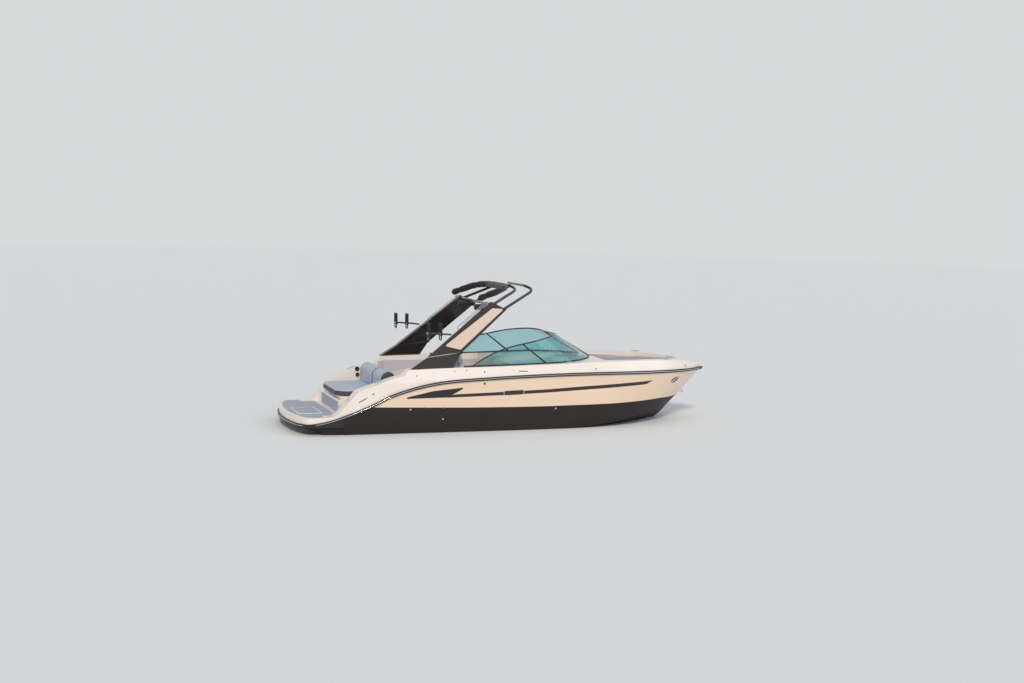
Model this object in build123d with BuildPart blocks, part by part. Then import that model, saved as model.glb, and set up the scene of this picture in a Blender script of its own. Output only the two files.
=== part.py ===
"""A 27 ft sterndrive bowrider: hull, deck, cockpit, windshield, folding tower and drive."""
import os
from math import cos, radians, sin

from build123d import *

# Frame: +X bow, +Y port, +Z up, in millimetres, origin at the waterline, centreline, amidships.
FIT = 0.3            # gap between separate pieces that rest against each other
SEAM = 0.5           # gap between mouldings that lie on the same curved line
RUN = 6.0            # gap round a piece that moves

# Hull and deck mouldings
HULL_WALL = 26.0
TRANSOM_X = -3550.0
TRANSOM_WALL = 60.0
STRAKE_WIDTH = 55.0
STRAKE_DROP = 16.0
CHINE_FLAT = 62.0
CHINE_DROP = 8.0
CROWN = 22.0         # rise of the deck from its edge to the centreline

# Table of offsets, one row for each section, aft to forward: keel x and z, deck-edge x and z,
# chine half-beam and z, rail half-beam and z, deck-edge half-beam
SECTIONS = [
    (-3900.0, -440.0, -3900.0, 1100.0, 1086.0, -30.0, 1250.0, 880.0, 1168.0),
    (-2700.0, -448.0, -2700.0, 1150.0, 1104.0, -30.0, 1276.0, 925.0, 1190.0),
    (-1400.0, -454.0, -1400.0, 1172.0, 1118.0, -28.0, 1292.0, 960.0, 1208.0),
    (-100.0, -456.0, -100.0, 1198.0, 1118.0, -12.0, 1294.0, 998.0, 1212.0),
    (300.0, -450.0, 300.0, 1210.0, 1107.0, 3.0, 1292.0, 1010.0, 1210.0),
    (1000.0, -430.0, 1000.0, 1230.0, 1082.0, 30.0, 1280.0, 1025.0, 1198.0),
    (1850.0, -350.0, 1980.0, 1238.0, 965.0, 130.0, 1200.0, 1024.0, 1102.0),
    (2480.0, -205.0, 2800.0, 1214.0, 710.0, 262.0, 960.0, 1008.0, 856.0),
    (2880.0, -40.0, 3420.0, 1156.0, 390.0, 385.0, 620.0, 988.0, 522.0),
    (3110.0, 110.0, 3935.0, 990.0, 30.0, 470.0, 80.0, 946.0, 62.0),
]
AMIDSHIPS = 3        # the row where the aft body's loft meets the bow's
# Sheer line seen from the side, as arcs: x and z of each arc's start, middle and end
SHEER = [
    ((-4520.0, 178.0), (-4000.0, 205.0), (-3550.0, 320.0)),
    ((-3550.0, 320.0), (-3120.0, 487.0), (-2750.0, 668.0)),
    ((-2750.0, 668.0), (-2220.0, 832.0), (-1500.0, 942.0)),
    ((-1500.0, 942.0), (1100.0, 1031.0), (4100.0, 958.0)),
]
# Top of the quarter coaming seen from the side, aft to forward: x, z and rounding of each corner
COAMING = [
    (-3880.0, 322.0, 0.0), (-3680.0, 345.0, 200.0), (-3305.0, 778.0, 180.0),
    (-2660.0, 1000.0, 500.0), (-2480.0, 1035.0, 80.0), (-2365.0, 1150.0, 100.0),
    (-1500.0, 1172.0, 300.0), (1200.0, 1900.0, 0.0),
]

# Openings in the deck
QUARTER_WELL = 960.0          # half-width between the quarter coamings
COCKPIT_HALF = 1068.0
COCKPIT_AFT = -2340.0
DASH_X = -380.0               # aft face of the dash and consoles
WALKWAY_HALF = 265.0
CONSOLE_FRONT = 1440.0
BOW_WELL_AFT = 1500.0
BOW_WELL = [(1500.0, 950.0), (2080.0, 905.0), (2820.0, 640.0), (3320.0, 250.0)]
BOW_WELL_ROUND = 90.0

# Cockpit liner
SOLE_Z = 330.0
BOW_SOLE_Z = 480.0
SOLE_THICK = 30.0
LINER = 18.0
ENGINE_BAY_FRONT = -2480.0

# Swim platform
PLATFORM_TOP = 320.0
PLATFORM_BOTTOM = 145.0
PLATFORM_AFT = TRANSOM_X - 870.0
PLATFORM_CORNER_X = PLATFORM_AFT + 110.0
PLATFORM_HALF = 1218.0
PLATFORM_SKIN = 55.0
PLATFORM_LIP = 95.0
PAD_THICK = 6.0
PAD_INSET = 60.0
# Hull wings that carry the platform: station x, inner and outer half-beam, bottom z
WING = [
    (TRANSOM_X + 10.0, 600.0, 1150.0, -20.0),
    (TRANSOM_X - 330.0, 615.0, 1130.0, 24.0),
    (PLATFORM_AFT + 215.0, 700.0, 1010.0, 112.0),
]

BOW_SOLE_FRONT = 3080.0

# Ladder hatch in the platform
LADDER_FRONT = TRANSOM_X - 270.0
LADDER_AFT = LADDER_FRONT - 430.0
LADDER_STARBOARD = -630.0
LADDER_PORT = 120.0
LADDER_THICK = 9.0
LADDER_PIVOT_X = LADDER_FRONT - 8.0
LADDER_PIVOT_Z = PLATFORM_TOP + 14.0
LADDER_KNUCKLE = 8.0
LADDER_LUG = 14.0
LADDER_PIN = 4.0

# Anchor locker in the foredeck
LID_AFT = 3410.0
LID_FRONT = 3660.0
LID_HALF = 130.0
LID_THICK = 22.0
LEDGE = 14.0
LOCKER_Z = 1010.0

# Rub rail
RAIL_OUT = 24.0
RAIL_HALF = 27.0

# Engine bay, hatch and sunpad
HATCH_Z = 600.0
HATCH_THICK = 30.0
RISER_X = TRANSOM_X - 10.0
HATCH_AFT = RISER_X + 48.0
HATCH_FRONT = -2790.0
SUNPAD_STARBOARD = -720.0
SUNPAD_PORT = 690.0
SUNPAD_THICK = 120.0
SUNPAD_OVERHANG = 58.0
STAIR_INNER = -735.0
STEP_Z = 470.0
MOULD_FRONT = -2448.0

# Drive: x and z of the steering and trim axes, propeller shaft and plates
STEER_X = TRANSOM_X - 150.0
TRIM_Z = -150.0
SHAFT_Z = -590.0
SHIELD_HALF = 185.0
SHIELD_THICK = 35.0
SHIELD_LOW, SHIELD_HIGH = -330.0, 92.0
FORK_ARMS = [(-330.0, -300.0), (60.0, 92.0)]   # bottom and top of the lower and upper arm
FORK_REACH = 45.0
FORK_HALF = 60.0
STEER_PIN = 18.0
TRIM_PIN = 16.0
RING_REACH = 45.0
RING_LOW, RING_HIGH = -290.0, 50.0
RING_WINDOW = 88.0
SHAFT_R = 15.0
RING_HALF = 125.0
LEG_HALF = 62.0
PROP_X_FRONT = STEER_X - 375.0
PROP_X_REAR = PROP_X_FRONT - 100.0
PROP_R_FRONT = 195.0
PROP_R_REAR = 182.0
HUB_R = 62.0
BULLET_NOSE = STEER_X - 70.0
BULLET_AFT = PROP_X_FRONT + 45.0
SHAFT_END = PROP_X_REAR - 62.0

# Cockpit and bow furniture
BENCH_Z = 650.0
HELM_Y = -575.0
WHEEL_R = 178.0
BOW_FOOT_HALF = 240.0
BOW_SEAT_Z = 800.0
BOW_BACK_FRONT = 1590.0
SIDE_PAD = 26.0
SIDE_PAD_HIGH = 235.0
DOOR_X, DOOR_Y = 1400.0, 250.0
DOOR_LOW, DOOR_HIGH = 350.0, 1008.0
TRIM_OUT = 5.0       # how far vents and lamps stand off the hull side

# Windshield
GLASS = 6.0
RAIL_TUBE = 13.0
KNOB = 2.0
STRIP_HALF = 15.0
STRIP_HIGH = 12.0
GLASS_DOOR = 270.0

# Tower: legs lean inwards on a plane that starts at the deck's edge
TOWER_Y = 1200.0
TOWER_Z = 1165.0
TOWER_LEAN = 10.8
LEG_THICK = 90.0
PIVOT_X = -1400.0
PIVOT_Z = 1442.0
PIN_R = 12.0
KNUCKLE_R = 36.0
CHEEK_OUTER = (-1150.0, -1130.0)     # stations across the boat, starboard side
CHEEK_INNER = (-1073.0, -1053.0)
TONGUE_SLOT = (-1130.0, -1073.0)
TONGUE = (-1124.0, -1079.0)
HOOP_R = 26.0
BOOT_R = 64.0
ROD_R = 8.0
RACK_R = 12.0
POD_R = 56.0

os.makedirs("parts", exist_ok=True)


def write(piece, name):
    """Labels a finished piece and writes it as its own file."""
    piece.label = name
    export_step(piece, f"parts/{name}.step")


def section_plane(row):
    """The plane of one section, leaning forward by its rake; local x is port, local y is up."""
    keel_x, keel_z, deck_x, deck_z = row[:4]
    rake = Vector(deck_x - keel_x, 0, deck_z - keel_z).normalized()
    return Plane(origin=(keel_x, 0, keel_z), x_dir=(0, 1, 0), z_dir=(rake.Z, 0, -rake.X)), rake.Z


def section_outline(row, grow):
    """Half-section points, keel to crown, moved outwards by grow, then mirrored to close."""
    keel_x, keel_z, deck_x, deck_z, chine_y, chine_z, rail_y, rail_z, deck_y = row
    slope = section_plane(row)[1]
    rise = (chine_z - keel_z) / chine_y
    strake_y = 0.52 * chine_y
    strake_w = min(STRAKE_WIDTH, 0.18 * chine_y)
    drop = STRAKE_DROP * strake_w / STRAKE_WIDTH
    strake = [
        (strake_y - strake_w, keel_z + rise * (strake_y - strake_w) - 1.06 * grow),
        (strake_y, keel_z + rise * strake_y - drop - 1.06 * grow),
        (strake_y + 4.0 * strake_w / STRAKE_WIDTH, keel_z + rise * strake_y - 1.06 * grow),
    ]
    flat = min(CHINE_FLAT, 0.5 * chine_y)
    knuckle = 0.42
    half = [
        (0.0, keel_z - 1.06 * grow),
        *strake,
        (chine_y + 0.3 * grow, chine_z - grow),
        (chine_y + flat + grow, chine_z - CHINE_DROP - grow),
        (chine_y + flat + knuckle * (rail_y - chine_y - flat) + 16.0 * flat / CHINE_FLAT + grow,
         chine_z + knuckle * (rail_z - chine_z)),
        (rail_y + grow, rail_z),
        (deck_y + grow, deck_z + 0.5 * grow),
    ]
    local = [(y, (z - keel_z) / slope) for y, z in half]
    crown = (0.0, (deck_z + CROWN + grow - keel_z) / slope)
    return local + [crown] + [(-y, z) for y, z in reversed(local[1:])]


def envelope(grow, shift=0.0):
    """The closed outer form of hull and deck together, moved outwards by grow."""
    with BuildPart() as form:
        for rows in (SECTIONS[:AMIDSHIPS + 1], SECTIONS[AMIDSHIPS:]):
            for row in rows:
                stem = grow if row is SECTIONS[-1] else 0
                with BuildSketch(section_plane(row)[0].offset(stem)):
                    with BuildLine():
                        Polyline(*section_outline(row, grow), close=True)
                    make_face()
            loft()
    return form.part.moved(Location((0, 0, shift)))


def below_sheer(drop):
    """Everything below the sheer line, lowered by drop, as a closed solid."""
    with BuildPart() as under:
        with BuildSketch(Plane.XZ.offset(-1600.0)):
            with BuildLine():
                for start, middle, end in SHEER:
                    ThreePointArc(*[(x, z - drop) for x, z in (start, middle, end)])
                Polyline(
                    (SHEER[-1][2][0], SHEER[-1][2][1] - drop), (SHEER[-1][2][0], -1200.0),
                    (SHEER[0][0][0], -1200.0), (SHEER[0][0][0], SHEER[0][0][1] - drop),
                )
            make_face()
        extrude(amount=3200.0)
    return under.part


def box(low, high):
    """A plain box from its lowest to its highest corner, kept apart from any open block."""
    size = [b - a for a, b in zip(low, high)]
    centre = [(a + b) / 2 for a, b in zip(low, high)]
    return Pos(*centre) * Box(*size, mode=Mode.PRIVATE)


outer = envelope(0.0)
inner = envelope(-HULL_WALL)
lining = envelope(-HULL_WALL - FIT)
sheer_low = below_sheer(SEAM / 2)
sheer_high = below_sheer(-SEAM / 2)

hull_bay = inner & box((TRANSOM_X + TRANSOM_WALL, -1500, -1200), (4200, 1500, 1600))

# One of the two wings that run aft from the transom, under the platform
with BuildPart() as wing:
    for x, near_y, far_y, low_z in WING:
        with BuildSketch(Plane.YZ.offset(x)):
            Polygon((-far_y, PLATFORM_BOTTOM - FIT), (-near_y, PLATFORM_BOTTOM - FIT),
                    (-near_y, low_z + 18), (18 - near_y - 40, low_z), (14 - far_y, low_z), align=None)
    loft(ruled=True)

# Hull: one hollow moulding, V-bottom with strakes, hard chines and a flat transom
with BuildPart() as hull:
    add(outer)
    add(sheer_low, mode=Mode.INTERSECT)
    add(box((TRANSOM_X, -1500, -1200), (4200, 1500, 1600)), mode=Mode.INTERSECT)
    add(hull_bay, mode=Mode.SUBTRACT)
    add(wing.part)
    add(mirror(wing.part, about=Plane.XZ))
write(hull.part, "hull")

# Deck: side decks, foredeck, quarter coamings and console tops in one moulding
lid_plan = box((LID_AFT, -LID_HALF, 700), (LID_FRONT, LID_HALF, 1400))
with BuildPart() as deck:
    add(outer)
    add(sheer_high, mode=Mode.SUBTRACT)
    with BuildSketch(Plane.XZ.offset(-1600.0)):
        with BuildLine():
            FilletPolyline(*[(x, z) for x, z, ease in COAMING],
                           radius=[ease for x, z, ease in COAMING[1:-1]])
            Polyline(COAMING[-1][:2], (4200, 1900), (4200, 300),
                     (TRANSOM_X, PLATFORM_TOP + SEAM), (COAMING[0][0], PLATFORM_TOP + SEAM),
                     COAMING[0][:2])
        make_face()
    extrude(amount=3200.0, mode=Mode.INTERSECT)
    with BuildSketch(Plane.XY.offset(200.0)):
        with BuildLine():
            Polyline(*BOW_WELL, *[(x, -y) for x, y in reversed(BOW_WELL)], close=True)
        make_face()
        fillet(vertices(), BOW_WELL_ROUND)
    extrude(amount=1500.0, mode=Mode.SUBTRACT)
    for low, high in [
        ((-3950, -QUARTER_WELL, 200), (COCKPIT_AFT + 50, QUARTER_WELL, 1700)),
        ((COCKPIT_AFT, -COCKPIT_HALF, 200), (DASH_X, COCKPIT_HALF, 1700)),
        ((DASH_X - 10, -WALKWAY_HALF, 200), (BOW_WELL_AFT + 60, WALKWAY_HALF, 1700)),
        ((LID_AFT + LEDGE, LEDGE - LID_HALF, LOCKER_Z), (LID_FRONT - LEDGE, LID_HALF - LEDGE, 1700)),
    ]:
        add(box(low, high), mode=Mode.SUBTRACT)
    add(box((LID_AFT - RUN, -LID_HALF - RUN, 700), (LID_FRONT + RUN, LID_HALF + RUN, 1700))
        - envelope(0.0, -LID_THICK - FIT), mode=Mode.SUBTRACT)
write(deck.part, "deck")

# Anchor locker lid in the foredeck, flush with the deck's own curve
with BuildPart() as anchor_lid:
    add(outer)
    add(lid_plan, mode=Mode.INTERSECT)
    add(envelope(0.0, -LID_THICK), mode=Mode.SUBTRACT)
write(anchor_lid.part, "anchor_lid")

# Rub rail: a strip along the sheer that stands out from the sides, round bow and platform
def platform_outline(grow):
    """Plan of the swim platform, moved outwards by grow."""
    with BuildSketch(Plane.XY.offset(PLATFORM_BOTTOM)) as plan:
        with BuildLine():
            Polyline((TRANSOM_X - SEAM, PLATFORM_HALF), (PLATFORM_CORNER_X + 130, PLATFORM_HALF),
                     (PLATFORM_CORNER_X, PLATFORM_HALF - 300))
            ThreePointArc((PLATFORM_CORNER_X, PLATFORM_HALF - 300), (PLATFORM_AFT, 0),
                          (PLATFORM_CORNER_X, 300 - PLATFORM_HALF))
            Polyline((PLATFORM_CORNER_X, 300 - PLATFORM_HALF),
                     (PLATFORM_CORNER_X + 130, -PLATFORM_HALF), (TRANSOM_X - SEAM, -PLATFORM_HALF),
                     (TRANSOM_X - SEAM, PLATFORM_HALF))
        make_face()
        fillet(plan.vertices().group_by(Axis.X)[1], 180.0)
        fillet(plan.vertices().sort_by(Axis.X)[0:2], 220.0)
        if grow:
            offset(amount=grow)
    return plan.sketch


with BuildPart() as rub_rail:
    add(envelope(RAIL_OUT))
    add(box((TRANSOM_X, -1600, -1200), (4300, 1600, 1600)), mode=Mode.INTERSECT)
    with BuildSketch(Plane.XY.offset(PLATFORM_BOTTOM)):
        add(platform_outline(RAIL_OUT))
        add(platform_outline(FIT), mode=Mode.SUBTRACT)
    extrude(amount=400)
    add(below_sheer(-RAIL_HALF), mode=Mode.INTERSECT)
    add(below_sheer(RAIL_HALF), mode=Mode.SUBTRACT)
    add(envelope(FIT), mode=Mode.SUBTRACT)
write(rub_rail.part, "rub_rail")

with BuildPart() as swim_platform:
    add(platform_outline(0))
    extrude(amount=PLATFORM_TOP - PLATFORM_BOTTOM)
    with BuildSketch(Plane.XY.offset(PLATFORM_BOTTOM)):
        add(platform_outline(-PLATFORM_LIP))
    extrude(amount=PLATFORM_TOP - PLATFORM_SKIN - PLATFORM_BOTTOM, mode=Mode.SUBTRACT)
    for side, y in ((-1, LADDER_STARBOARD), (1, LADDER_PORT)):
        near, far = sorted((y + side * RUN, y + side * (RUN + LADDER_LUG)))
        add(box((LADDER_PIVOT_X - 10, near, PLATFORM_TOP - 1),
                (LADDER_PIVOT_X + 10, far, LADDER_PIVOT_Z + 9)))
        with Locations(Pos(LADDER_PIVOT_X, y, LADDER_PIVOT_Z) * Rot(90, 0, 0)):
            Cylinder(LADDER_PIN, 2 * (RUN + LADDER_LUG) - 2)
write(swim_platform.part, "swim_platform")

# Non-slip foam on the platform, and the ladder hatch let into its starboard side
hatch_low = (LADDER_AFT, LADDER_STARBOARD, PLATFORM_TOP + FIT)
hatch_high = (LADDER_PIVOT_X - 4, LADDER_PORT, PLATFORM_TOP + FIT + LADDER_THICK)
with BuildPart() as platform_pad:
    with BuildSketch(Plane.XY.offset(PLATFORM_TOP + FIT)):
        add(platform_outline(-PAD_INSET))
        with Locations(((LADDER_AFT + LADDER_FRONT) / 2, (LADDER_STARBOARD + LADDER_PORT) / 2)):
            Rectangle(LADDER_FRONT - LADDER_AFT + 2 * RUN,
                      LADDER_PORT - LADDER_STARBOARD + 2 * (2 * RUN + LADDER_LUG),
                      mode=Mode.SUBTRACT)
        with Locations((TRANSOM_X, 0)):
            Rectangle(2 * PAD_INSET + 60, 3000, mode=Mode.SUBTRACT)
        for side in (-1, 1):
            with Locations((TRANSOM_X, side * (QUARTER_WELL + 400))):
                Rectangle(700, 820, mode=Mode.SUBTRACT)
    extrude(amount=PAD_THICK)
write(platform_pad.part, "platform_pad")

with BuildPart() as ladder_lid:
    add(box(hatch_low, hatch_high))
    with Locations(Pos(LADDER_PIVOT_X, (LADDER_STARBOARD + LADDER_PORT) / 2, LADDER_PIVOT_Z)
                   * Rot(90, 0, 0)):
        Cylinder(LADDER_KNUCKLE, LADDER_PORT - LADDER_STARBOARD)
        Cylinder(LADDER_PIN + FIT, LADDER_PORT - LADDER_STARBOARD, mode=Mode.SUBTRACT)
write(ladder_lid.part, "ladder_lid")

# Cockpit liner: the two soles on the hull's inner faces and the low walls above them
with BuildPart() as liner:
    for low_x, high_x, z in [(ENGINE_BAY_FRONT, BOW_WELL_AFT, SOLE_Z),
                             (BOW_WELL_AFT, BOW_SOLE_FRONT, BOW_SOLE_Z)]:
        add(lining & box((low_x, -1400, z - SOLE_THICK), (high_x, 1400, z)))
    add(box((BOW_WELL_AFT - SOLE_THICK, -WALKWAY_HALF, SOLE_Z),
            (BOW_WELL_AFT, WALKWAY_HALF, BOW_SOLE_Z)))
    for side in (-1, 1):
        inside, outside = sorted((side * COCKPIT_HALF, side * (COCKPIT_HALF + LINER)))
        add(box((ENGINE_BAY_FRONT, inside, SOLE_Z), (CONSOLE_FRONT, outside, 1100)))
    with BuildSketch(Plane.XY.offset(BOW_SOLE_Z)):
        with BuildLine():
            Polyline(*BOW_WELL, *[(x, -y) for x, y in reversed(BOW_WELL)], close=True)
        make_face()
        fillet(vertices(), BOW_WELL_ROUND)
        offset(amount=LINER)
        with BuildLine():
            Polyline(*BOW_WELL, *[(x, -y) for x, y in reversed(BOW_WELL)], close=True)
        make_face(mode=Mode.SUBTRACT)
        with Locations((BOW_WELL_AFT, 0)):
            Rectangle(200, 2 * WALKWAY_HALF, mode=Mode.SUBTRACT)
    extrude(amount=700)
    add(lining, mode=Mode.INTERSECT)
    add(below_sheer(SEAM), mode=Mode.INTERSECT)
write(liner.part, "cockpit_liner")

# Consoles: hollow boxes under the deck on each side of the walkway
for side, name in ((-1, "console_starboard"), (1, "console_port")):
    near, far = sorted((side * (WALKWAY_HALF + 5), side * (COCKPIT_HALF - FIT)))
    with BuildPart() as console:
        add(box((DASH_X, near, SOLE_Z + FIT), (CONSOLE_FRONT, far, 1100)))
        add(box((DASH_X + 60, near + 40, SOLE_Z - 10), (CONSOLE_FRONT - 40, far - 40, 900)),
            mode=Mode.SUBTRACT)
        with BuildSketch(Plane.XZ.offset(-1400)):
            Polygon((DASH_X - 1, 500), (DASH_X - 1, SOLE_Z - 1), (DASH_X + 160, SOLE_Z - 1),
                    align=None)
        extrude(amount=2800, mode=Mode.SUBTRACT)
        add(below_sheer(SEAM), mode=Mode.INTERSECT)
    write(console.part, name)


def tube(points, radii, radius):
    """A round tube along straight runs joined by arcs."""
    with BuildPart(mode=Mode.PRIVATE) as pipe:
        with BuildLine() as path:
            FilletPolyline(*points, radius=radii)
        with BuildSketch(Plane(origin=path.line @ 0, z_dir=path.line % 0)):
            Circle(radius)
        sweep()
    return pipe.part


def both_sides(piece):
    """A starboard piece and its mirror image to port."""
    return Compound(children=[piece, mirror(piece, about=Plane.XZ)])


skin = envelope(FIT)
raised_sheer = below_sheer(-SEAM) & box((-4000, -1600, -600), (-3400, 1600, 900))

# Windshield: tube rail on top, posts, a strip on the deck and five panes of glass
glass_a, glass_b, glass_c = (-1160, -1120, 1194), (-720, -1102, 1432), (-200, -1065, 1572)
glass_d, glass_e = (400, -880, 1686), (690, -GLASS_DOOR, 1694)
base_a, base_c = (-1340, -1126, 1174), (264, -1087, 1212)
base_d, base_e = (1130, -760, 1242), (1422, -GLASS_DOOR, 1255)
top_side = Edge.make_three_point_arc(glass_a, glass_b, glass_c)
top_front = Edge.make_three_point_arc(glass_c, glass_d, glass_e)
low_side = Edge.make_line(base_a, base_c)
low_front = Edge.make_three_point_arc(base_c, base_d, base_e)
lift = Vector(0, 0, STRIP_HIGH + 1)
post_corner = Edge.make_line(Vector(*base_c) + lift, glass_c)
post_door = Edge.make_line(Vector(*base_e) + lift, glass_e)


def bar(edge, radius):
    """A round bar along one edge."""
    with BuildPart(mode=Mode.PRIVATE) as rod:
        with BuildLine():
            add(edge)
        with BuildSketch(Plane(origin=edge @ 0, z_dir=edge % 0)):
            Circle(radius)
        sweep()
    return rod.part


def knob(point, radius):
    """A ball over the joint where bars meet."""
    return Pos(*point) * Sphere(radius, mode=Mode.PRIVATE)


strip_skin = envelope(STRIP_HIGH)
with BuildPart() as deck_strip:
    with BuildSketch(Plane.XY.offset(1100)):
        with BuildLine():
            Line((base_a[0], base_a[1]), (base_c[0], base_c[1]))
            ThreePointArc((base_c[0], base_c[1]), (base_d[0], base_d[1]), (base_e[0], base_e[1]))
        trace(line_width=2 * STRIP_HALF)
    extrude(amount=300)
    add(strip_skin, mode=Mode.INTERSECT)
    add(skin, mode=Mode.SUBTRACT)
with BuildPart() as frame_half:
    for edge in (top_side, top_front, post_corner, post_door):
        add(bar(edge, RAIL_TUBE))
    add(bar(Edge.make_line(glass_e, (glass_e[0], 0, glass_e[2])), RAIL_TUBE))
    for point in (glass_c, glass_e):
        add(knob(point, RAIL_TUBE + KNOB))
    add(deck_strip.part)
with BuildPart() as windshield_frame:
    add(frame_half.part)
    add(mirror(frame_half.part, about=Plane.XZ))
write(windshield_frame.part, "windshield_frame")
pane_floor = envelope(STRIP_HIGH + FIT)


def pane(low_edge, high_edge):
    """A pane of glass ruled between two edges, cut back to the frame round it."""
    with BuildPart(mode=Mode.PRIVATE) as sheet:
        add(Solid.thicken(Face.make_surface_from_curves(low_edge, high_edge), GLASS))
        for edge in (top_front, top_side, post_corner, post_door):
            add(bar(edge, RAIL_TUBE + FIT), mode=Mode.SUBTRACT)
        for point in (glass_c, glass_e):
            add(knob(point, RAIL_TUBE + KNOB + FIT), mode=Mode.SUBTRACT)
        add(pane_floor, mode=Mode.SUBTRACT)
    return sheet.part.solids().sort_by(SortBy.VOLUME)[-1]


side_pane = pane(low_side, top_side)
front_pane = pane(low_front, top_front)
for piece, name in ((side_pane, "glass_side"), (front_pane, "glass_front")):
    write(Part(piece.wrapped), name + "_starboard")
    write(mirror(Part(piece.wrapped), about=Plane.XZ), name + "_port")

# Centre pane, in its own opening between the two door posts
pane_half = GLASS_DOOR - RAIL_TUBE - FIT
pane_low, pane_high = post_door @ 0.03, post_door @ 0.97
with BuildPart() as glass_centre:
    add(Solid.thicken(Face.make_surface_from_curves(
        Edge.make_line((pane_low.X, -pane_half, pane_low.Z), (pane_low.X, pane_half, pane_low.Z)),
        Edge.make_line((pane_high.X, -pane_half, pane_high.Z),
                       (pane_high.X, pane_half, pane_high.Z))), GLASS))
write(glass_centre.part, "glass_centre")

# Tower feet and legs, drawn on the leaning side plane
lean = radians(TOWER_LEAN)
leg_plane = Plane(origin=(0, -TOWER_Y, TOWER_Z), x_dir=(1, 0, 0), z_dir=(0, -cos(lean), sin(lean)))


def on_leg(x, z):
    """A point of the side view, carried onto the leaning plane's own axes."""
    return (x, (z - TOWER_Z) / cos(lean))


def disc(radius, low_y, high_y):
    """A round block on the tower's fold axis, between two stations across the boat."""
    with BuildPart(mode=Mode.PRIVATE) as block:
        with Locations(Pos(PIVOT_X, (low_y + high_y) / 2, PIVOT_Z) * Rot(90, 0, 0)):
            Cylinder(radius, high_y - low_y)
    return block.part


FOOT = [(-2350, 1150), (-1570, 1150), (-1405, 1420), (-1422, 1434), (-2020, 1361)]
LEG = [(-2014, 1371), (-1440, 1445), (-1372, 1452), (-500, 2205), (-794, 2348)]
INSERT = [(-1705, 1560), (-1410, 1492), (-555, 2215), (-775, 2228)]
with BuildPart() as tower_foot:
    with BuildSketch(leg_plane):
        Polygon(*[on_leg(*p) for p in FOOT], align=None)
    extrude(amount=-LEG_THICK)
    add(disc(KNUCKLE_R + RUN, *TONGUE_SLOT), mode=Mode.SUBTRACT)
    for cheek in (CHEEK_OUTER, CHEEK_INNER):
        add(disc(KNUCKLE_R, *cheek))
    add(disc(PIN_R, CHEEK_OUTER[0], CHEEK_INNER[1]))
    add(skin, mode=Mode.SUBTRACT)
with BuildPart() as tower_leg:
    with BuildSketch(leg_plane):
        Polygon(*[on_leg(*p) for p in LEG], align=None)
    extrude(amount=-LEG_THICK)
    for low_y, high_y in (CHEEK_OUTER, CHEEK_INNER):
        add(disc(KNUCKLE_R + RUN, low_y - RUN, high_y + RUN), mode=Mode.SUBTRACT)
    add(disc(KNUCKLE_R - RUN, *TONGUE))
    add(disc(PIN_R + FIT, *TONGUE), mode=Mode.SUBTRACT)
with BuildPart() as tower_insert:
    with BuildSketch(leg_plane.offset(FIT)):
        Polygon(*[on_leg(*p) for p in INSERT], align=None)
        fillet(vertices(), 20)
    extrude(amount=6)
for piece, name in ((tower_foot, "tower_foot"), (tower_leg, "tower_leg"),
                    (tower_insert, "tower_insert")):
    write(piece.part, name + "_starboard")
    write(mirror(piece.part, about=Plane.XZ), name + "_port")

# Hoops: two bent tubes from leg to leg, with a straight cross tube between the leg tops
legs = [tower_leg.part, mirror(tower_leg.part, about=Plane.XZ)]
HOOPS = [
    [(-600, 950, 2170), (150, 640, 2545), (20, 470, 2612)],
    [(-794, 943, 2264), (-185, 640, 2552), (-285, 470, 2616)],
]
CROSS_TUBE = Edge.make_line((-790, -925, 2290), (-790, 925, 2290))
with BuildPart() as tower_hoop:
    for points in HOOPS:
        add(tube([(x, -y, z) for x, y, z in points] + [(x, y, z) for x, y, z in reversed(points)],
                 [110, 110, 110, 110], HOOP_R))
    add(bar(CROSS_TUBE, HOOP_R - 2))
    for leg in legs:
        add(leg, mode=Mode.SUBTRACT)
write(tower_hoop.part, "tower_hoop")

# Folded sun top in its boot: a soft bundle bent round the tower, resting on the rear hoop
boot_reach, boot_rest = BOOT_R + HOOP_R + FIT, radians(20)
BOOT = [(-1010, 840, 2385), (-560, 800, 2545),
        (HOOPS[1][2][0] - boot_reach * cos(boot_rest), 520, HOOPS[1][2][2] - boot_reach * sin(boot_rest))]
with BuildPart() as sun_top:
    add(tube([(x, -y, z) for x, y, z in BOOT] + [(x, y, z) for x, y, z in reversed(BOOT)],
             [180, 180, 180, 180], BOOT_R))
write(sun_top.part, "sun_top_boot")

# Twin stainless rods along the aft edge of each leg: depth in the leg, stand-off, share of the edge
RODS = [(-16.0, 28.0, 0.53, 0.96), (-74.0, 52.0, 0.485, 0.985)]
aft_low, aft_high = Vector(LEG[0][0], 0, LEG[0][1]), Vector(LEG[-1][0], 0, LEG[-1][1])
aft_run = (aft_high - aft_low).normalized()
aft_out = Vector(-aft_run.Z, 0, aft_run.X)
with BuildPart() as rods:
    for across, stand_off, low_share, high_share in RODS:
        pts = []
        for share, out in ((low_share, -6), (low_share + 0.02, stand_off),
                           (high_share - 0.02, stand_off), (high_share, -6)):
            spot = aft_low + (aft_high - aft_low) * share + aft_out * out
            pts.append(leg_plane.offset(across).from_local_coords(
                Vector(*on_leg(spot.X, spot.Z), 0)))
        add(tube(pts, [14, 14], ROD_R))
    for leg in legs:
        add(leg, mode=Mode.SUBTRACT)
write(both_sides(rods.part), "leg_rods")

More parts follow.
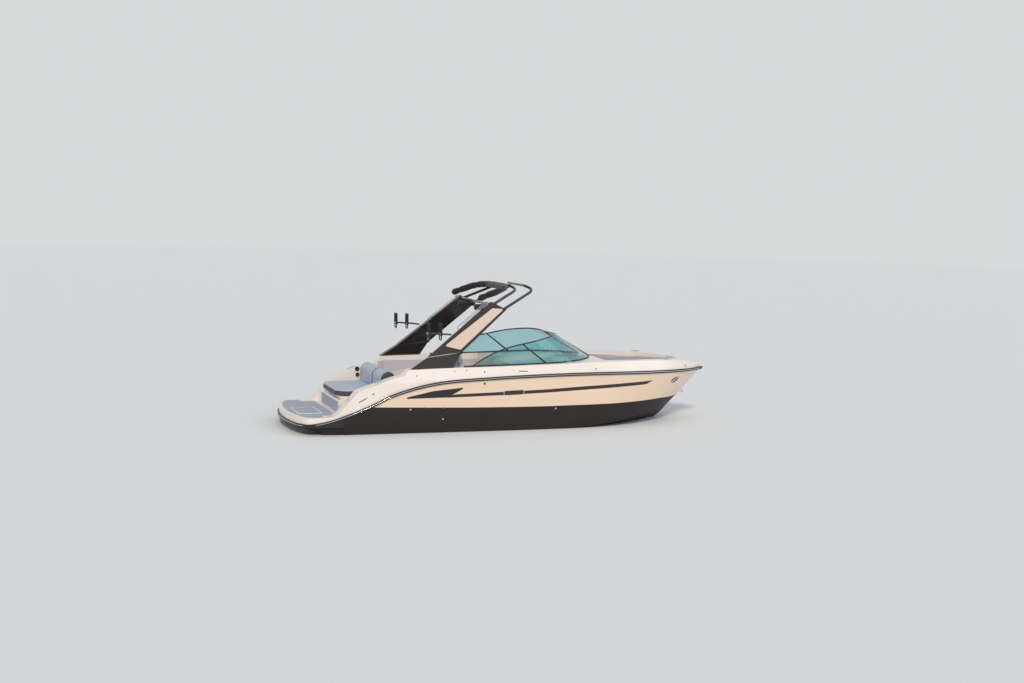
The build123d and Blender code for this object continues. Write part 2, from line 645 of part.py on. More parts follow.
# Board racks: an arm from each leg with two upright forks; x and z of each fork's middle
FORKS = [(-1800, 1782), (-2020, 1794)]
FORK_Y = 1170.0
FORK_SLOT = 124.0
with BuildPart() as rack:
    add(tube([(-1575, -1075, 1762), (-1700, -1150, 1775), (-2030, -FORK_Y, 1795)], [40], RACK_R + 4))
    for x, z in FORKS:
        near, far = FORK_SLOT / 2 - FORK_Y, -FORK_SLOT / 2 - FORK_Y
        add(tube([(x, far, z + 185), (x, far, z - 105), (x, near, z - 105), (x, near, z + 185)],
                 [45, 45], RACK_R))
        with Locations((x, -FORK_Y, z)):
            Cylinder(RACK_R + 12, FORK_SLOT + 30, rotation=(90, 0, 0))
    for leg in legs:
        add(leg, mode=Mode.SUBTRACT)
write(both_sides(rack.part), "board_racks")

# Speaker pods under the cross tube
with BuildPart() as pod:
    with Locations(Pos(-800, -520, 2216) * Rot(0, 90, 0)):
        Cylinder(POD_R, 330)
    fillet(pod.edges().filter_by(GeomType.CIRCLE), 12)
    add(bar(CROSS_TUBE, HOOP_R - 2 + FIT), mode=Mode.SUBTRACT)
write(both_sides(pod.part), "tower_speakers")

with BuildPart() as top_light:
    crown_x, crown_z = HOOPS[0][2][0], HOOPS[0][2][2] + HOOP_R
    with BuildSketch(Plane.XY.offset(crown_z - 2)):
        with Locations((crown_x, 0)):
            Circle(16)
    extrude(amount=22, taper=8)
    with Locations((crown_x, 0, crown_z + 40)):
        Cylinder(13, 44)
    add(tower_hoop.part, mode=Mode.SUBTRACT)
write(top_light.part, "top_light")

# Sterndrive: transom shield with fork arms, gimbal ring, leg, two propellers
def drive_hub(radius, low_x, high_x, z=SHAFT_Z):
    """A round block along the propeller shaft."""
    with BuildPart(mode=Mode.PRIVATE) as block:
        with Locations(Pos((low_x + high_x) / 2, 0, z) * Rot(0, 90, 0)):
            Cylinder(radius, high_x - low_x)
    return block.part


with BuildPart() as drive_shield:
    add(box((TRANSOM_X - FIT - SHIELD_THICK, -SHIELD_HALF, SHIELD_LOW),
            (TRANSOM_X - FIT, SHIELD_HALF, SHIELD_HIGH)))
    fillet(drive_shield.edges().filter_by(Axis.X), 60)
    for low_z, high_z in FORK_ARMS:
        add(box((STEER_X - FORK_REACH, -FORK_HALF, low_z),
                (TRANSOM_X - FIT - SHIELD_THICK, FORK_HALF, high_z)))
    fillet(drive_shield.edges().filter_by(Axis.Z).group_by(Axis.X)[0], 35)
    with Locations((STEER_X, 0, (SHIELD_LOW + SHIELD_HIGH) / 2)):
        Cylinder(STEER_PIN + FIT, SHIELD_HIGH - SHIELD_LOW + 40, mode=Mode.SUBTRACT)
write(drive_shield.part, "drive_shield")

with BuildPart() as gimbal_ring:
    add(box((STEER_X - RING_REACH, -RING_HALF, RING_LOW), (STEER_X + RING_REACH, RING_HALF, RING_HIGH)))
    fillet(gimbal_ring.edges().filter_by(Axis.X), 40)
    add(box((STEER_X - 100, -RING_WINDOW, RING_LOW + 40), (STEER_X + 100, RING_WINDOW, RING_HIGH - 40)),
        mode=Mode.SUBTRACT)
    for low_z, high_z in ((RING_HIGH - 2, FORK_ARMS[1][1]), (FORK_ARMS[0][0], RING_LOW + 2)):
        with Locations((STEER_X, 0, (low_z + high_z) / 2)):
            Cylinder(STEER_PIN, high_z - low_z)
    with Locations(Pos(STEER_X, 0, TRIM_Z) * Rot(90, 0, 0)):
        Cylinder(TRIM_PIN + FIT, 2 * RING_HALF + 10, mode=Mode.SUBTRACT)
write(gimbal_ring.part, "gimbal_ring")

# Side view of the leg's upper housing and of the skeg, x and z
# measured aft from the steering axis
HOUSING = [(75, -354), (350, -354), (335, -150), (285, -80), (130, -80), (75, -115)]
SKEG = [(150, -630), (308, -630), (314, -800), (345, -893), (280, -905), (205, -780)]
PLATES = [(-364, 12, 135, 495), (-300, 10, 95, 410)]  # z, thickness, half-width, aft end
with BuildPart() as drive_leg:
    with BuildSketch(Plane.XZ):
        Polygon(*[(STEER_X - x, z) for x, z in HOUSING], align=None)
    extrude(amount=LEG_HALF, both=True)
    fillet(drive_leg.edges().filter_by(Axis.Z), 40)
    with BuildSketch(Plane.XZ):
        Polygon(*[(STEER_X - x, z) for x, z in SKEG], align=None)
    extrude(amount=8, both=True)
    for z, thick, half, aft in PLATES:
        with BuildSketch(Plane.XY.offset(z)):
            with BuildLine():
                side = [(90, 0), (100, 40), (200, half * 0.72), (aft - 60, half), (aft, half * 0.8)]
                Polyline(*[(STEER_X - x, y) for x, y in side],
                         *[(STEER_X - x, -y) for x, y in reversed(side[1:])], close=True)
            make_face()
        extrude(amount=thick)
    for aft, z, long, wide in ((205, -356, 122, 44), (220, SHAFT_Z + 6, 98, 34)):
        with BuildSketch(Plane.XY.offset(z)):
            with Locations((STEER_X - aft, 0)):
                Ellipse(long, wide)
    loft()
    with BuildSketch(Plane.XY.offset(SHAFT_Z)):
        with BuildLine():
            Polyline((BULLET_NOSE, 0), (SHAFT_END, 0), (SHAFT_END, SHAFT_R), (BULLET_AFT, SHAFT_R),
                     (BULLET_AFT, HUB_R), (BULLET_NOSE - 102, HUB_R))
            ThreePointArc((BULLET_NOSE - 102, HUB_R), (BULLET_NOSE - 35, 42), (BULLET_NOSE, 0))
        make_face()
    revolve(axis=Axis((0, 0, SHAFT_Z), (1, 0, 0)))
    add(box((STEER_X - 90, -RING_WINDOW + 26, TRIM_Z - 34),
            (STEER_X + 30, RING_WINDOW - 26, TRIM_Z + 34)))
    with Locations(Pos(STEER_X, 0, TRIM_Z) * Rot(90, 0, 0)):
        Cylinder(TRIM_PIN, 2 * RING_HALF)
write(drive_leg.part, "drive_leg")

# Blade sections from root to tip: radius fraction, chord, thickness, pitch angle
BLADE = [(0.27, 62.0, 15.0, 58.0), (0.62, 118.0, 10.0, 38.0), (0.97, 66.0, 4.0, 27.0)]
for centre_x, tip, hand, name in ((PROP_X_FRONT, PROP_R_FRONT, 1, "propeller_front"),
                                  (PROP_X_REAR, PROP_R_REAR, -1, "propeller_rear")):
    with BuildPart() as blade:
        for along, chord, thick, pitch in BLADE:
            turn = radians(hand * pitch)
            with BuildSketch(Plane(origin=(centre_x, 0, SHAFT_Z + tip * along),
                                   x_dir=(sin(turn), cos(turn), 0), z_dir=(0, 0, 1))):
                Ellipse(chord / 2, thick / 2)
        loft()
    with BuildPart() as propeller:
        add(drive_hub(HUB_R - 2, centre_x - 44, centre_x + 44))
        for count in range(3):
            add(blade.part.rotate(Axis((0, 0, SHAFT_Z), (1, 0, 0)), 120 * count))
        add(drive_hub(SHAFT_R + FIT, centre_x - 60, centre_x + 60), mode=Mode.SUBTRACT)
    write(propeller.part, name)

# Engine: one plain block on the hull's bottom
with BuildPart() as engine:
    add(lining & box((-3430, -350, -400), (-2600, 350, 300)))
write(engine.part, "engine")

# Aft moulding round the engine bay: riser over the platform, rim for the hatch, starboard steps
with BuildPart() as aft_moulding:
    with BuildSketch(Plane.XZ.offset(-(QUARTER_WELL - 2))):
        Polygon((RISER_X, PLATFORM_TOP + 2), (RISER_X + 15, 540), (RISER_X + 75, HATCH_Z - FIT),
                (MOULD_FRONT, HATCH_Z - FIT), (MOULD_FRONT, SOLE_Z + FIT),
                (ENGINE_BAY_FRONT + FIT, SOLE_Z + FIT), (TRANSOM_X + TRANSOM_WALL, 346), align=None)
    extrude(amount=2 * (QUARTER_WELL - 2))
    for low, high in [
        ((-3445, -660, 0), (-2560, 630, 700)),
        ((-3445, -925, 0), (-2560, 925, HATCH_Z - 45)),
        ((RISER_X - 10, -1000, STEP_Z), (-3380, STAIR_INNER, 700)),
    ]:
        add(box(low, high), mode=Mode.SUBTRACT)
    add(box((-3445, -925, STEP_Z - 30), (-3350, STAIR_INNER, STEP_Z)))
    add(box((-3380, -925, STEP_Z - 30), (-3350, STAIR_INNER, HATCH_Z - FIT)))
    add(box((-3490, STAIR_INNER, STEP_Z - 30), (-3350, STAIR_INNER + 30, HATCH_Z - FIT)))
    add(raised_sheer, mode=Mode.SUBTRACT)
write(aft_moulding.part, "aft_moulding")

with BuildPart() as riser_pad:
    with BuildSketch(Plane.XZ.offset(-680)):
        Polygon((RISER_X + 0.9, 345), (RISER_X + 11.8, 528), (RISER_X + 6.8, 528),
                (RISER_X - 4.1, 345), align=None)
    extrude(amount=1370)
    with BuildSketch(Plane.XY.offset(STEP_Z + FIT)):
        with Locations(((RISER_X + 25 - 3385) / 2, (STAIR_INNER - 940) / 2)):
            RectangleRounded(-3385 - RISER_X - 25, STAIR_INNER + 930, 20)
    extrude(amount=5)
write(riser_pad.part, "step_pads")

with BuildPart() as engine_hatch:
    add(box((HATCH_AFT, SUNPAD_STARBOARD, HATCH_Z), (HATCH_FRONT, SUNPAD_PORT, HATCH_Z + HATCH_THICK)))
write(engine_hatch.part, "engine_hatch")
with BuildPart() as sunpad:
    add(box((HATCH_AFT - SUNPAD_OVERHANG, SUNPAD_STARBOARD, HATCH_Z + HATCH_THICK + FIT),
            (HATCH_FRONT, SUNPAD_PORT, HATCH_Z + HATCH_THICK + SUNPAD_THICK)))
    fillet(sunpad.edges().filter_by(Axis.Z).group_by(Axis.X)[0], 140)
    fillet(sunpad.edges().filter_by(Axis.Z).group_by(Axis.X)[-1], 40)
    fillet(sunpad.faces().sort_by(Axis.Z)[-1].edges(), 25)
write(sunpad.part, "sunpad")

# Seat bases and upholstery: low corner, high corner, rounding
SOFT = {
    "backrest_starboard": ((-2770, -720, HATCH_Z), (-2500, -40, 1060), 60),
    "backrest_port": ((-2770, -30, HATCH_Z), (-2500, 900, 1060), 60),
    "bench_cushion": ((-2440, -690, BENCH_Z), (-1985, 1050, BENCH_Z + 100), 30),
    "lounge_cushion": ((-1980, 560, BENCH_Z), (-420, 1050, BENCH_Z + 100), 30),
}
with BuildPart() as seat_base:
    add(box((MOULD_FRONT + FIT, -700, SOLE_Z + FIT), (-2000, 1064, BENCH_Z)))
    add(box((-2000, 550, SOLE_Z + FIT), (-400, 1064, BENCH_Z)))
write(seat_base.part, "seat_base")
for name, (low, high, round_r) in SOFT.items():
    with BuildPart() as cushion:
        add(box((low[0], low[1], low[2] + FIT), high))
        fillet(cushion.edges().filter_by(Axis.Z), round_r)
        fillet(cushion.faces().sort_by(Axis.Z)[-1].edges(), round_r * 0.8)
    write(cushion.part, name)

with BuildPart() as helm_pedestal:
    with Locations((-1040, HELM_Y, SOLE_Z + FIT)):
        Cylinder(150, 16, align=(Align.CENTER, Align.CENTER, Align.MIN))
        Cylinder(58, 310, align=(Align.CENTER, Align.CENTER, Align.MIN))
    add(box((-1280, HELM_Y - 250, 640), (-800, HELM_Y + 250, 690)))
write(helm_pedestal.part, "helm_pedestal")
with BuildPart() as helm_seat:
    with BuildSketch(Plane.XZ.offset(-HELM_Y - 260)):
        with BuildLine():
            Polyline((-1290, 690 + FIT), (-770, 690 + FIT), (-755, 800), (-790, 830), (-1190, 815),
                     (-1260, 1330), (-1330, 1355), (-1375, 1320), (-1350, 800), close=True)
        make_face()
    extrude(amount=520)
    fillet(helm_seat.edges().filter_by(Axis.Y), 12)
write(helm_seat.part, "helm_seat")

# Steering wheel on a short column from the starboard console
with BuildPart() as steering_wheel:
    tilt = Plane(origin=(DASH_X - 95, HELM_Y, 985), x_dir=(0, 1, 0), z_dir=(-0.85, 0, 0.53))
    with BuildSketch(Plane(origin=tilt.origin, x_dir=tilt.x_dir, z_dir=-tilt.y_dir)):
        with Locations((WHEEL_R, 0)):
            Circle(13)
    revolve(axis=Axis(tilt.origin, tilt.z_dir))
    with BuildSketch(tilt.offset(-8)):
        Circle(48)
        for turn in (90, 210, 330):
            with Locations((WHEEL_R / 2 * cos(radians(turn)), WHEEL_R / 2 * sin(radians(turn)))):
                Rectangle(WHEEL_R, 26, rotation=turn)
    extrude(amount=14)
    with BuildSketch(tilt.offset(-140)):
        Circle(28)
    extrude(amount=140)
    add(box((DASH_X - FIT, -1100, 700), (DASH_X + 200, 0, 1300)), mode=Mode.SUBTRACT)
write(steering_wheel.part, "steering_wheel")

# Bow seating: a U-shaped base round the footwell, its cushion and two backrests
with BuildPart() as bow_plan:
    with BuildSketch(Plane.XY.offset(BOW_SOLE_Z + FIT)):
        with BuildLine():
            Polyline(*BOW_WELL, *[(x, -y) for x, y in reversed(BOW_WELL)], close=True)
        make_face()
        fillet(vertices(), BOW_WELL_ROUND)
        offset(amount=-1.0)
    extrude(amount=600)
    add(box((1480, -BOW_FOOT_HALF, 400), (2700, BOW_FOOT_HALF, 1200)), mode=Mode.SUBTRACT)
    add(lining, mode=Mode.INTERSECT)
for low_z, high_z, inset, name in ((BOW_SOLE_Z, BOW_SEAT_Z, 0, "bow_seat_base"),
                                   (BOW_SEAT_Z + FIT, BOW_SEAT_Z + 100, 0, "bow_cushion")):
    with BuildPart() as bow_piece:
        add(bow_plan.part)
        add(box((1490, -1300, low_z), (3400, 1300, high_z)), mode=Mode.INTERSECT)
    write(bow_piece.part, name)
for side, name in ((-1, "bow_backrest_starboard"), (1, "bow_backrest_port")):
    near, far = sorted((side * 290, side * 860))
    with BuildPart() as back:
        add(box((BOW_WELL_AFT + 3, near, BOW_SEAT_Z + 100 + FIT), (BOW_BACK_FRONT, far, 1165)))
        fillet(back.edges().filter_by(Axis.X), 40)
    write(back.part, name)

# Padding on the inner sides of the bow well, from the cushion to just under the deck
with BuildPart() as bow_side_pads:
    for grow, mode in ((-FIT, Mode.ADD), (-SIDE_PAD, Mode.SUBTRACT)):
        with BuildSketch(Plane.XY.offset(BOW_SEAT_Z + 100 + 3 * FIT)):
            with BuildLine():
                Polyline(*BOW_WELL, *[(x, -y) for x, y in reversed(BOW_WELL)], close=True)
            make_face()
            fillet(vertices(), BOW_WELL_ROUND)
            offset(amount=grow)
        extrude(amount=SIDE_PAD_HIGH, mode=mode)
    add(box((1400, -1300, 800), (BOW_BACK_FRONT + RUN, 1300, 1300)), mode=Mode.SUBTRACT)
write(bow_side_pads.part, "bow_side_pads")

# Door across the walkway to the bow, on a pin held by two brackets on the port console
with BuildPart() as door_hinge:
    for z in (DOOR_LOW, DOOR_HIGH + 12):
        add(box((DOOR_X - 9, DOOR_Y - 9, z - 12), (DOOR_X + 9, WALKWAY_HALF + 5 - FIT, z)))
    with Locations((DOOR_X, DOOR_Y, (DOOR_LOW + DOOR_HIGH) / 2)):
        Cylinder(4, DOOR_HIGH - DOOR_LOW + 20)
write(door_hinge.part, "door_hinge")
with BuildPart() as bow_door:
    add(box((DOOR_X - 5, -DOOR_Y, DOOR_LOW + RUN), (DOOR_X + 15, DOOR_Y, DOOR_HIGH - RUN)))
    with Locations((DOOR_X, DOOR_Y, (DOOR_LOW + DOOR_HIGH) / 2)):
        Cylinder(9, DOOR_HIGH - DOOR_LOW - 2 * RUN)
        Cylinder(4 + FIT, DOOR_HIGH - DOOR_LOW, mode=Mode.SUBTRACT)
write(bow_door.part, "bow_door")

# Thin trim on the hull sides: each is cut from a shell that stands just off the hull
VENT = [(-2550, 633), (-1940, 767), (-1340, 825), (-1670, 649)]
LIGHT_X, LIGHT_Z, LIGHT_LONG, LIGHT_HIGH = 3053.0, 822.0, 112.0, 48.0
THRU_HULLS = [(420, 395), (-1740, 470), (-1740, 250), (-2080, 480), (-2350, 440)]
side_shell = envelope(TRIM_OUT) - skin
with BuildPart() as side_vents:
    with BuildSketch(Plane.XZ):
        Polygon(*VENT, align=None)
        fillet(vertices(), 14)
    extrude(amount=1500, both=True)
    add(side_shell, mode=Mode.INTERSECT)
write(side_vents.part, "side_vents")
with BuildPart() as docking_lights:
    with BuildSketch(Plane.XZ):
        with Locations((LIGHT_X, LIGHT_Z)):
            Ellipse(LIGHT_LONG, LIGHT_HIGH, rotation=18)
    extrude(amount=1500, both=True)
    add(side_shell, mode=Mode.INTERSECT)
write(docking_lights.part, "docking_lights")
with BuildPart() as thru_hulls:
    with BuildSketch(Plane.XZ):
        for x, z in THRU_HULLS:
            with Locations((x, z)):
                Circle(17)
    extrude(amount=1500, both=True)
    add(side_shell, mode=Mode.INTERSECT)
write(thru_hulls.part, "thru_hulls")

# Cleats on the deck: two feet and a horned bar each; x, y, z, heading and slope
CLEATS = [(-2900, 1110, 919, 0, -19), (720, 1172, 1222, 2, 0), (2860, 742, 1213, 30, 0)]
raised_deck = Pos(0, 0, FIT) * deck.part
with BuildPart() as cleats:
    for x, y, z, heading, slope in CLEATS:
        with Locations(Pos(x, -y, z) * Rot(0, slope, heading)):
            with Locations((-30, 0, 0), (30, 0, 0)):
                Cylinder(11, 44)
            with Locations(Pos(0, 0, 22) * Rot(0, 90, 0)):
                Cylinder(8, 180)
    add(raised_deck, mode=Mode.SUBTRACT)
write(both_sides(cleats.part), "cleats")

with BuildPart() as bow_eye:
    with BuildSketch(Plane(origin=(3480, 0, 560), x_dir=(0.77, 0, -0.64), z_dir=(0, 1, 0))):
        with Locations((70, 0)):
            SlotOverall(120, 62)
            SlotOverall(88, 30, mode=Mode.SUBTRACT)
    extrude(amount=8, both=True)
    add(skin, mode=Mode.SUBTRACT)
write(bow_eye.part, "bow_eye")

with BuildPart() as bow_light:
    with BuildSketch(Plane.XY.offset(1000)):
        with Locations((3775, 0)):
            Ellipse(42, 24)
    extrude(amount=140)
    add(skin, mode=Mode.SUBTRACT)
write(bow_light.part, "bow_light")
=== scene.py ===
"""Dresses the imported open-bow sport boat: every finish, the padded pieces and the small trim."""
import math

import bpy
import numpy as np
from mathutils import Matrix, Vector
from mathutils.bvhtree import BVHTree


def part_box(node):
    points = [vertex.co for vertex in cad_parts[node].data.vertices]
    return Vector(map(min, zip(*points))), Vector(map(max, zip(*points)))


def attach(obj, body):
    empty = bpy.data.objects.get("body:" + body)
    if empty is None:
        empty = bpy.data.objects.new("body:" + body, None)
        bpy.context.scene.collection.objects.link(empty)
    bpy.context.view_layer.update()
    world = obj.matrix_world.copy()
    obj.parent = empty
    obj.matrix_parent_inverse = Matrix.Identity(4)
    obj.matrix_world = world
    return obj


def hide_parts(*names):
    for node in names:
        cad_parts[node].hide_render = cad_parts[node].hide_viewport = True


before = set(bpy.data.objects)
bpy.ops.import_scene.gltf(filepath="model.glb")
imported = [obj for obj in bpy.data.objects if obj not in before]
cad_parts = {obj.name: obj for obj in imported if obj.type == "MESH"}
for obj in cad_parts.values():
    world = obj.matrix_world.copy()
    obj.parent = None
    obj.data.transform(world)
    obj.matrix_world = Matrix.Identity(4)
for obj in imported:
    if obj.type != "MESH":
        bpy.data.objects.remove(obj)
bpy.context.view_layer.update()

# Camera: a long way off the starboard quarter and a little above the deck, with a long lens.
# The boat leaned towards it when it was photographed, so the camera takes that lean instead.
HEEL, SWING, PITCH = math.radians(4.1), math.radians(19.0), math.radians(1.6)
FAR, EYE_HEIGHT, FOCAL_PIXELS, PICTURE_WIDTH, SENSOR = 28.3, 2.30, 1480, 1024, 36.0
eye = np.array([-FAR * math.sin(SWING), -FAR * math.cos(SWING), EYE_HEIGHT])
ahead = np.array([math.sin(SWING) * math.cos(PITCH), math.cos(SWING) * math.cos(PITCH),
                  -math.sin(PITCH)])
above = np.array([math.sin(SWING) * math.sin(PITCH), math.cos(SWING) * math.sin(PITCH),
                  math.cos(PITCH)])
lean = np.array([[1, 0, 0], [0, math.cos(HEEL), math.sin(HEEL)],
                 [0, -math.sin(HEEL), math.cos(HEEL)]])
lens = bpy.data.cameras.new("camera")
lens.lens, lens.sensor_width = FOCAL_PIXELS / PICTURE_WIDTH * SENSOR, SENSOR
lens.clip_end = 400.0
camera = bpy.data.objects.new("camera", lens)
pose = np.eye(4)
pose[:3, :3] = np.column_stack([lean @ np.cross(ahead, above), lean @ above, -(lean @ ahead)])
pose[:3, 3] = lean @ eye
camera.matrix_world = Matrix(pose.tolist())
bpy.context.scene.collection.objects.link(camera)
bpy.context.scene.camera = camera
bpy.context.scene.view_settings.view_transform = "Standard"


# Still water: a plain pale sheet at the waterline, open inside the hull so that nothing
# of it stands in the bilge. It keeps the boat's soft shadow and carries no colour of its own.
class Value:
    """A shader socket that takes part in arithmetic: each operator adds one Math node."""

    def __init__(self, finish, socket):
        self.finish, self.socket = finish, socket

    def math(self, operation, *others, first=None):
        values = [self if first is None else first, *others]
        return self.finish.add("ShaderNodeMath", dict(enumerate(values)), operation=operation)

    def __add__(self, other):
        return self.math("ADD", other)

    __radd__ = __add__

    def __mul__(self, other):
        return self.math("MULTIPLY", other)

    __rmul__ = __mul__

    def __sub__(self, other):
        return self.math("SUBTRACT", other)

    def __rsub__(self, other):
        return self.math("SUBTRACT", self, first=other)

    def __truediv__(self, other):
        return self.math("DIVIDE", other)

    def __gt__(self, other):
        return self.math("GREATER_THAN", other)

    def __lt__(self, other):
        return self.math("LESS_THAN", other)


def hexed(colour):
    """A colour written as #RRGGBB in display values, as linear red, green, blue and alpha."""
    shown = np.array([int(colour[i:i + 2], 16) / 255 for i in (1, 3, 5)])
    flat = np.where(shown <= 0.04045, shown / 12.92, ((shown + 0.055) / 1.055) ** 2.4)
    return (*[float(c) for c in flat], 1.0)


class Finish:
    """A material round one Principled shader, with its nodes made by one method."""

    def __init__(self, name, colour, rough=0.5, metal=0.0, coat=0.0, coat_rough=0.05, **more):
        self.material = bpy.data.materials.new(name)
        self.material.use_nodes = True
        self.tree = self.material.node_tree
        self.tree.nodes.clear()
        self.shader = self.tree.nodes.new("ShaderNodeBsdfPrincipled")
        self.output = self.tree.nodes.new("ShaderNodeOutputMaterial")
        self.tree.links.new(self.shader.outputs[0], self.output.inputs[0])
        self.set("Base Color", hexed(colour))
        for socket, value in (("Roughness", rough), ("Metallic", metal), ("Coat Weight", coat),
                              ("Coat Roughness", coat_rough)):
            self.set(socket, value)
        for socket, value in more.items():
            self.set(socket.replace("_", " ").title().replace("Ior", "IOR"), value)
        self.cache = {}

    def set(self, socket, value):
        """Gives one of the shader's sockets a number, a colour or a link."""
        if isinstance(value, Value):
            self.tree.links.new(value.socket, self.shader.inputs[socket])
        else:
            self.shader.inputs[socket].default_value = value

    def add(self, kind, sockets=(), out=0, stops=None, **settings):
        """Adds a node of a kind: its settings first, then the values or links of its sockets."""
        node = self.tree.nodes.new(kind)
        for key, value in settings.items():
            setattr(node, key, value)
        if stops:
            ramp = node.color_ramp
            ramp.interpolation = "LINEAR"
            while len(ramp.elements) < len(stops):
                ramp.elements.new(0.5)
            for element, (at, level) in zip(ramp.elements, stops):
                element.position = at
                element.color = level if isinstance(level, tuple) else (level, level, level, 1)
        for key, value in dict(sockets).items():
            if isinstance(value, Value):
                self.tree.links.new(value.socket, node.inputs[key])
            else:
                node.inputs[key].default_value = value
        return Value(self, node.outputs[out])

    def place(self, axis=None):
        """The point on the piece in metres, or one of its coordinates."""
        if "place" not in self.cache:
            self.cache["place"] = self.add("ShaderNodeTexCoord", out="Object")
            for k in range(3):
                self.cache[k] = self.add("ShaderNodeSeparateXYZ", {0: self.cache["place"]}, out=k)
        return self.cache["place" if axis is None else axis]

    def noise(self, scale, detail=2.0, rough=0.5, stretch=None):
        """Even noise about 0.5, over the piece's own coordinates."""
        point = self.place()
        if stretch:
            point = self.add("ShaderNodeMapping", {0: point, "Scale": stretch})
        return self.add("ShaderNodeTexNoise", {"Vector": point, "Scale": scale, "Detail": detail,
                                               "Roughness": rough})

    def blend(self, factor, low, high):
        """Two colours, or a colour and a link, mixed by a factor."""
        low, high = [hexed(c) if isinstance(c, str) else c for c in (low, high)]
        return self.add("ShaderNodeMix", {0: factor, 6: low, 7: high}, out=2, data_type="RGBA")

    def bump(self, height, depth, strength=1.0):
        """Lets a height in metres, given as 0 to 1 times depth, tilt the surface."""
        self.set("Normal", self.add("ShaderNodeBump", {"Height": height, "Distance": depth,
                                                       "Strength": strength}))


def mesh_piece(name, points, faces, finish, smooth=True):
    """A new object at the origin from arrays of points and faces."""
    mesh = bpy.data.meshes.new(name)
    mesh.from_pydata([tuple(p) for p in np.asarray(points, float).tolist()], [],
                     [tuple(f) for f in faces])
    mesh.update()
    mesh.polygons.foreach_set("use_smooth", [smooth] * len(mesh.polygons))
    mesh.materials.append(finish.material)
    piece = bpy.data.objects.new(name, mesh)
    bpy.context.scene.collection.objects.link(piece)
    return piece


def shell_of(name):
    """A CAD node's surface, to find points on it by rays and nearest places."""
    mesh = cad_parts[name].data
    return BVHTree.FromPolygons([v.co.copy() for v in mesh.vertices],
                                [tuple(p.vertices) for p in mesh.polygons])


def on_side(shell, x, z, hand, lift=0.0):
    """The point where a level ray from outboard meets a shell, moved outboard by lift."""
    hit = shell.ray_cast(Vector((x, hand * 4.0, z)), Vector((0, -hand, 0)))[0]
    return None if hit is None else (x, hit.y + hand * lift, z)


PALE = "#EEF0F1"
WATER_HALF = 90.0
bottom = shell_of("hull")
WET_X = np.concatenate([np.arange(-3.53, 2.4, 0.15), np.arange(2.4, 3.3, 0.03)])
wet = [p for p in (on_side(bottom, float(x), 0.0, 1, -0.015) for x in WET_X) if p and p[1] > 0.02]
inner = np.array([p[:2] for p in wet] + [(p[0], -p[1]) for p in reversed(wet)])
turn = np.arctan2(inner[:, 1], inner[:, 0])
rim = np.stack([np.cos(turn), np.sin(turn)], 1) * WATER_HALF
water = Finish("still_water", PALE, rough=0.7, specular_ior_level=0.2)
ring = np.concatenate([inner, rim])
count = len(inner)
quads = [(k, (k + 1) % count, count + (k + 1) % count, count + k) for k in range(count)]
sheet = mesh_piece("water_sheet", np.column_stack([ring, np.zeros(len(ring))]),
                   [q[::-1] for q in quads], water, smooth=False)

# Light: a large soft lamp high on the starboard quarter, a fill from the bow, and an even sky
# that shows the same pale tone as the water to the camera, to metal and through glass
world = bpy.data.worlds.new("sky")
bpy.context.scene.world = world
world.use_nodes = True
sky = world.node_tree
sky.nodes.clear()
path = sky.nodes.new("ShaderNodeLightPath")
dim = sky.nodes.new("ShaderNodeBackground")
dim.inputs[0].default_value, dim.inputs[1].default_value = hexed("#E2EAF3"), 0.52
bright = sky.nodes.new("ShaderNodeBackground")
bright.inputs[0].default_value, bright.inputs[1].default_value = hexed(PALE), 0.80
straight = path.outputs["Is Camera Ray"]
for ray in ("Is Glossy Ray", "Is Transmission Ray"):
    either = sky.nodes.new("ShaderNodeMath")
    either.operation = "MAXIMUM"
    sky.links.new(straight, either.inputs[0])
    sky.links.new(path.outputs[ray], either.inputs[1])
    straight = either.outputs[0]
chosen = sky.nodes.new("ShaderNodeMixShader")
result = sky.nodes.new("ShaderNodeOutputWorld")
sky.links.new(straight, chosen.inputs[0])
sky.links.new(dim.outputs[0], chosen.inputs[1])
sky.links.new(bright.outputs[0], chosen.inputs[2])
sky.links.new(chosen.outputs[0], result.inputs[0])


def lamp(name, direction, strength, colour, spread):
    """A sun that shines along a direction, softened by its spread in degrees."""
    light = bpy.data.lights.new(name, "SUN")
    light.energy, light.color, light.angle = strength, hexed(colour)[:3], math.radians(spread)
    holder = bpy.data.objects.new(name, light)
    back = -np.array(direction, float) / np.linalg.norm(direction)
    side = np.cross([0.0, 0.0, 1.0], back)
    side /= np.linalg.norm(side)
    turned = np.eye(4)
    turned[:3, :3] = np.column_stack([side, np.cross(back, side), back])
    holder.matrix_world = Matrix(turned.tolist())
    bpy.context.scene.collection.objects.link(holder)


lamp("key", (0.35, 1.0, -0.75), 1.75, "#FFF4E6", 12)
lamp("fill", (-0.9, 0.55, -0.5), 0.45, "#E9F0FF", 40)

# Hull: hand-laid moulding in beige gelcoat, black below a long rising line, with a dark arrow
# masked and sprayed in the mould before the beige. The wings under the platform are black as
# well.
BEIGE, BEIGE_DEEP, BOOT_BLACK, STRIPE = "#F0D9C3", "#EACFB3", "#170F10", "#2B1F1C"
X_LOW, X_SPAN = -3.6, 7.6
BOTTOM_LINE = [(-3.6, 0.70), (-3.16, 0.62), (-3.10, 0.496), (-2.54, 0.482), (-1.29, 0.453),
               (-0.44, 0.443), (0.31, 0.441), (0.75, 0.446), (1.58, 0.452), (2.25, 0.468),
               (2.70, 0.482), (3.42, 0.465), (4.0, 0.46)]
STRIPE_TOP = [(-1.68, 0.680), (-1.50, 0.702), (-0.63, 0.727), (0.29, 0.760), (0.95, 0.797),
              (1.82, 0.833), (2.45, 0.856)]
STRIPE_LOW = [(-1.68, 0.642), (-0.63, 0.666), (0.29, 0.698), (0.95, 0.730), (1.82, 0.769),
              (2.31, 0.789), (2.45, 0.852)]
STRIPE_AFT, STRIPE_FORE = -1.68, 2.45
PLATE_X, PLATE_Z, PLATE_RISE = -0.415, 0.709, 0.035
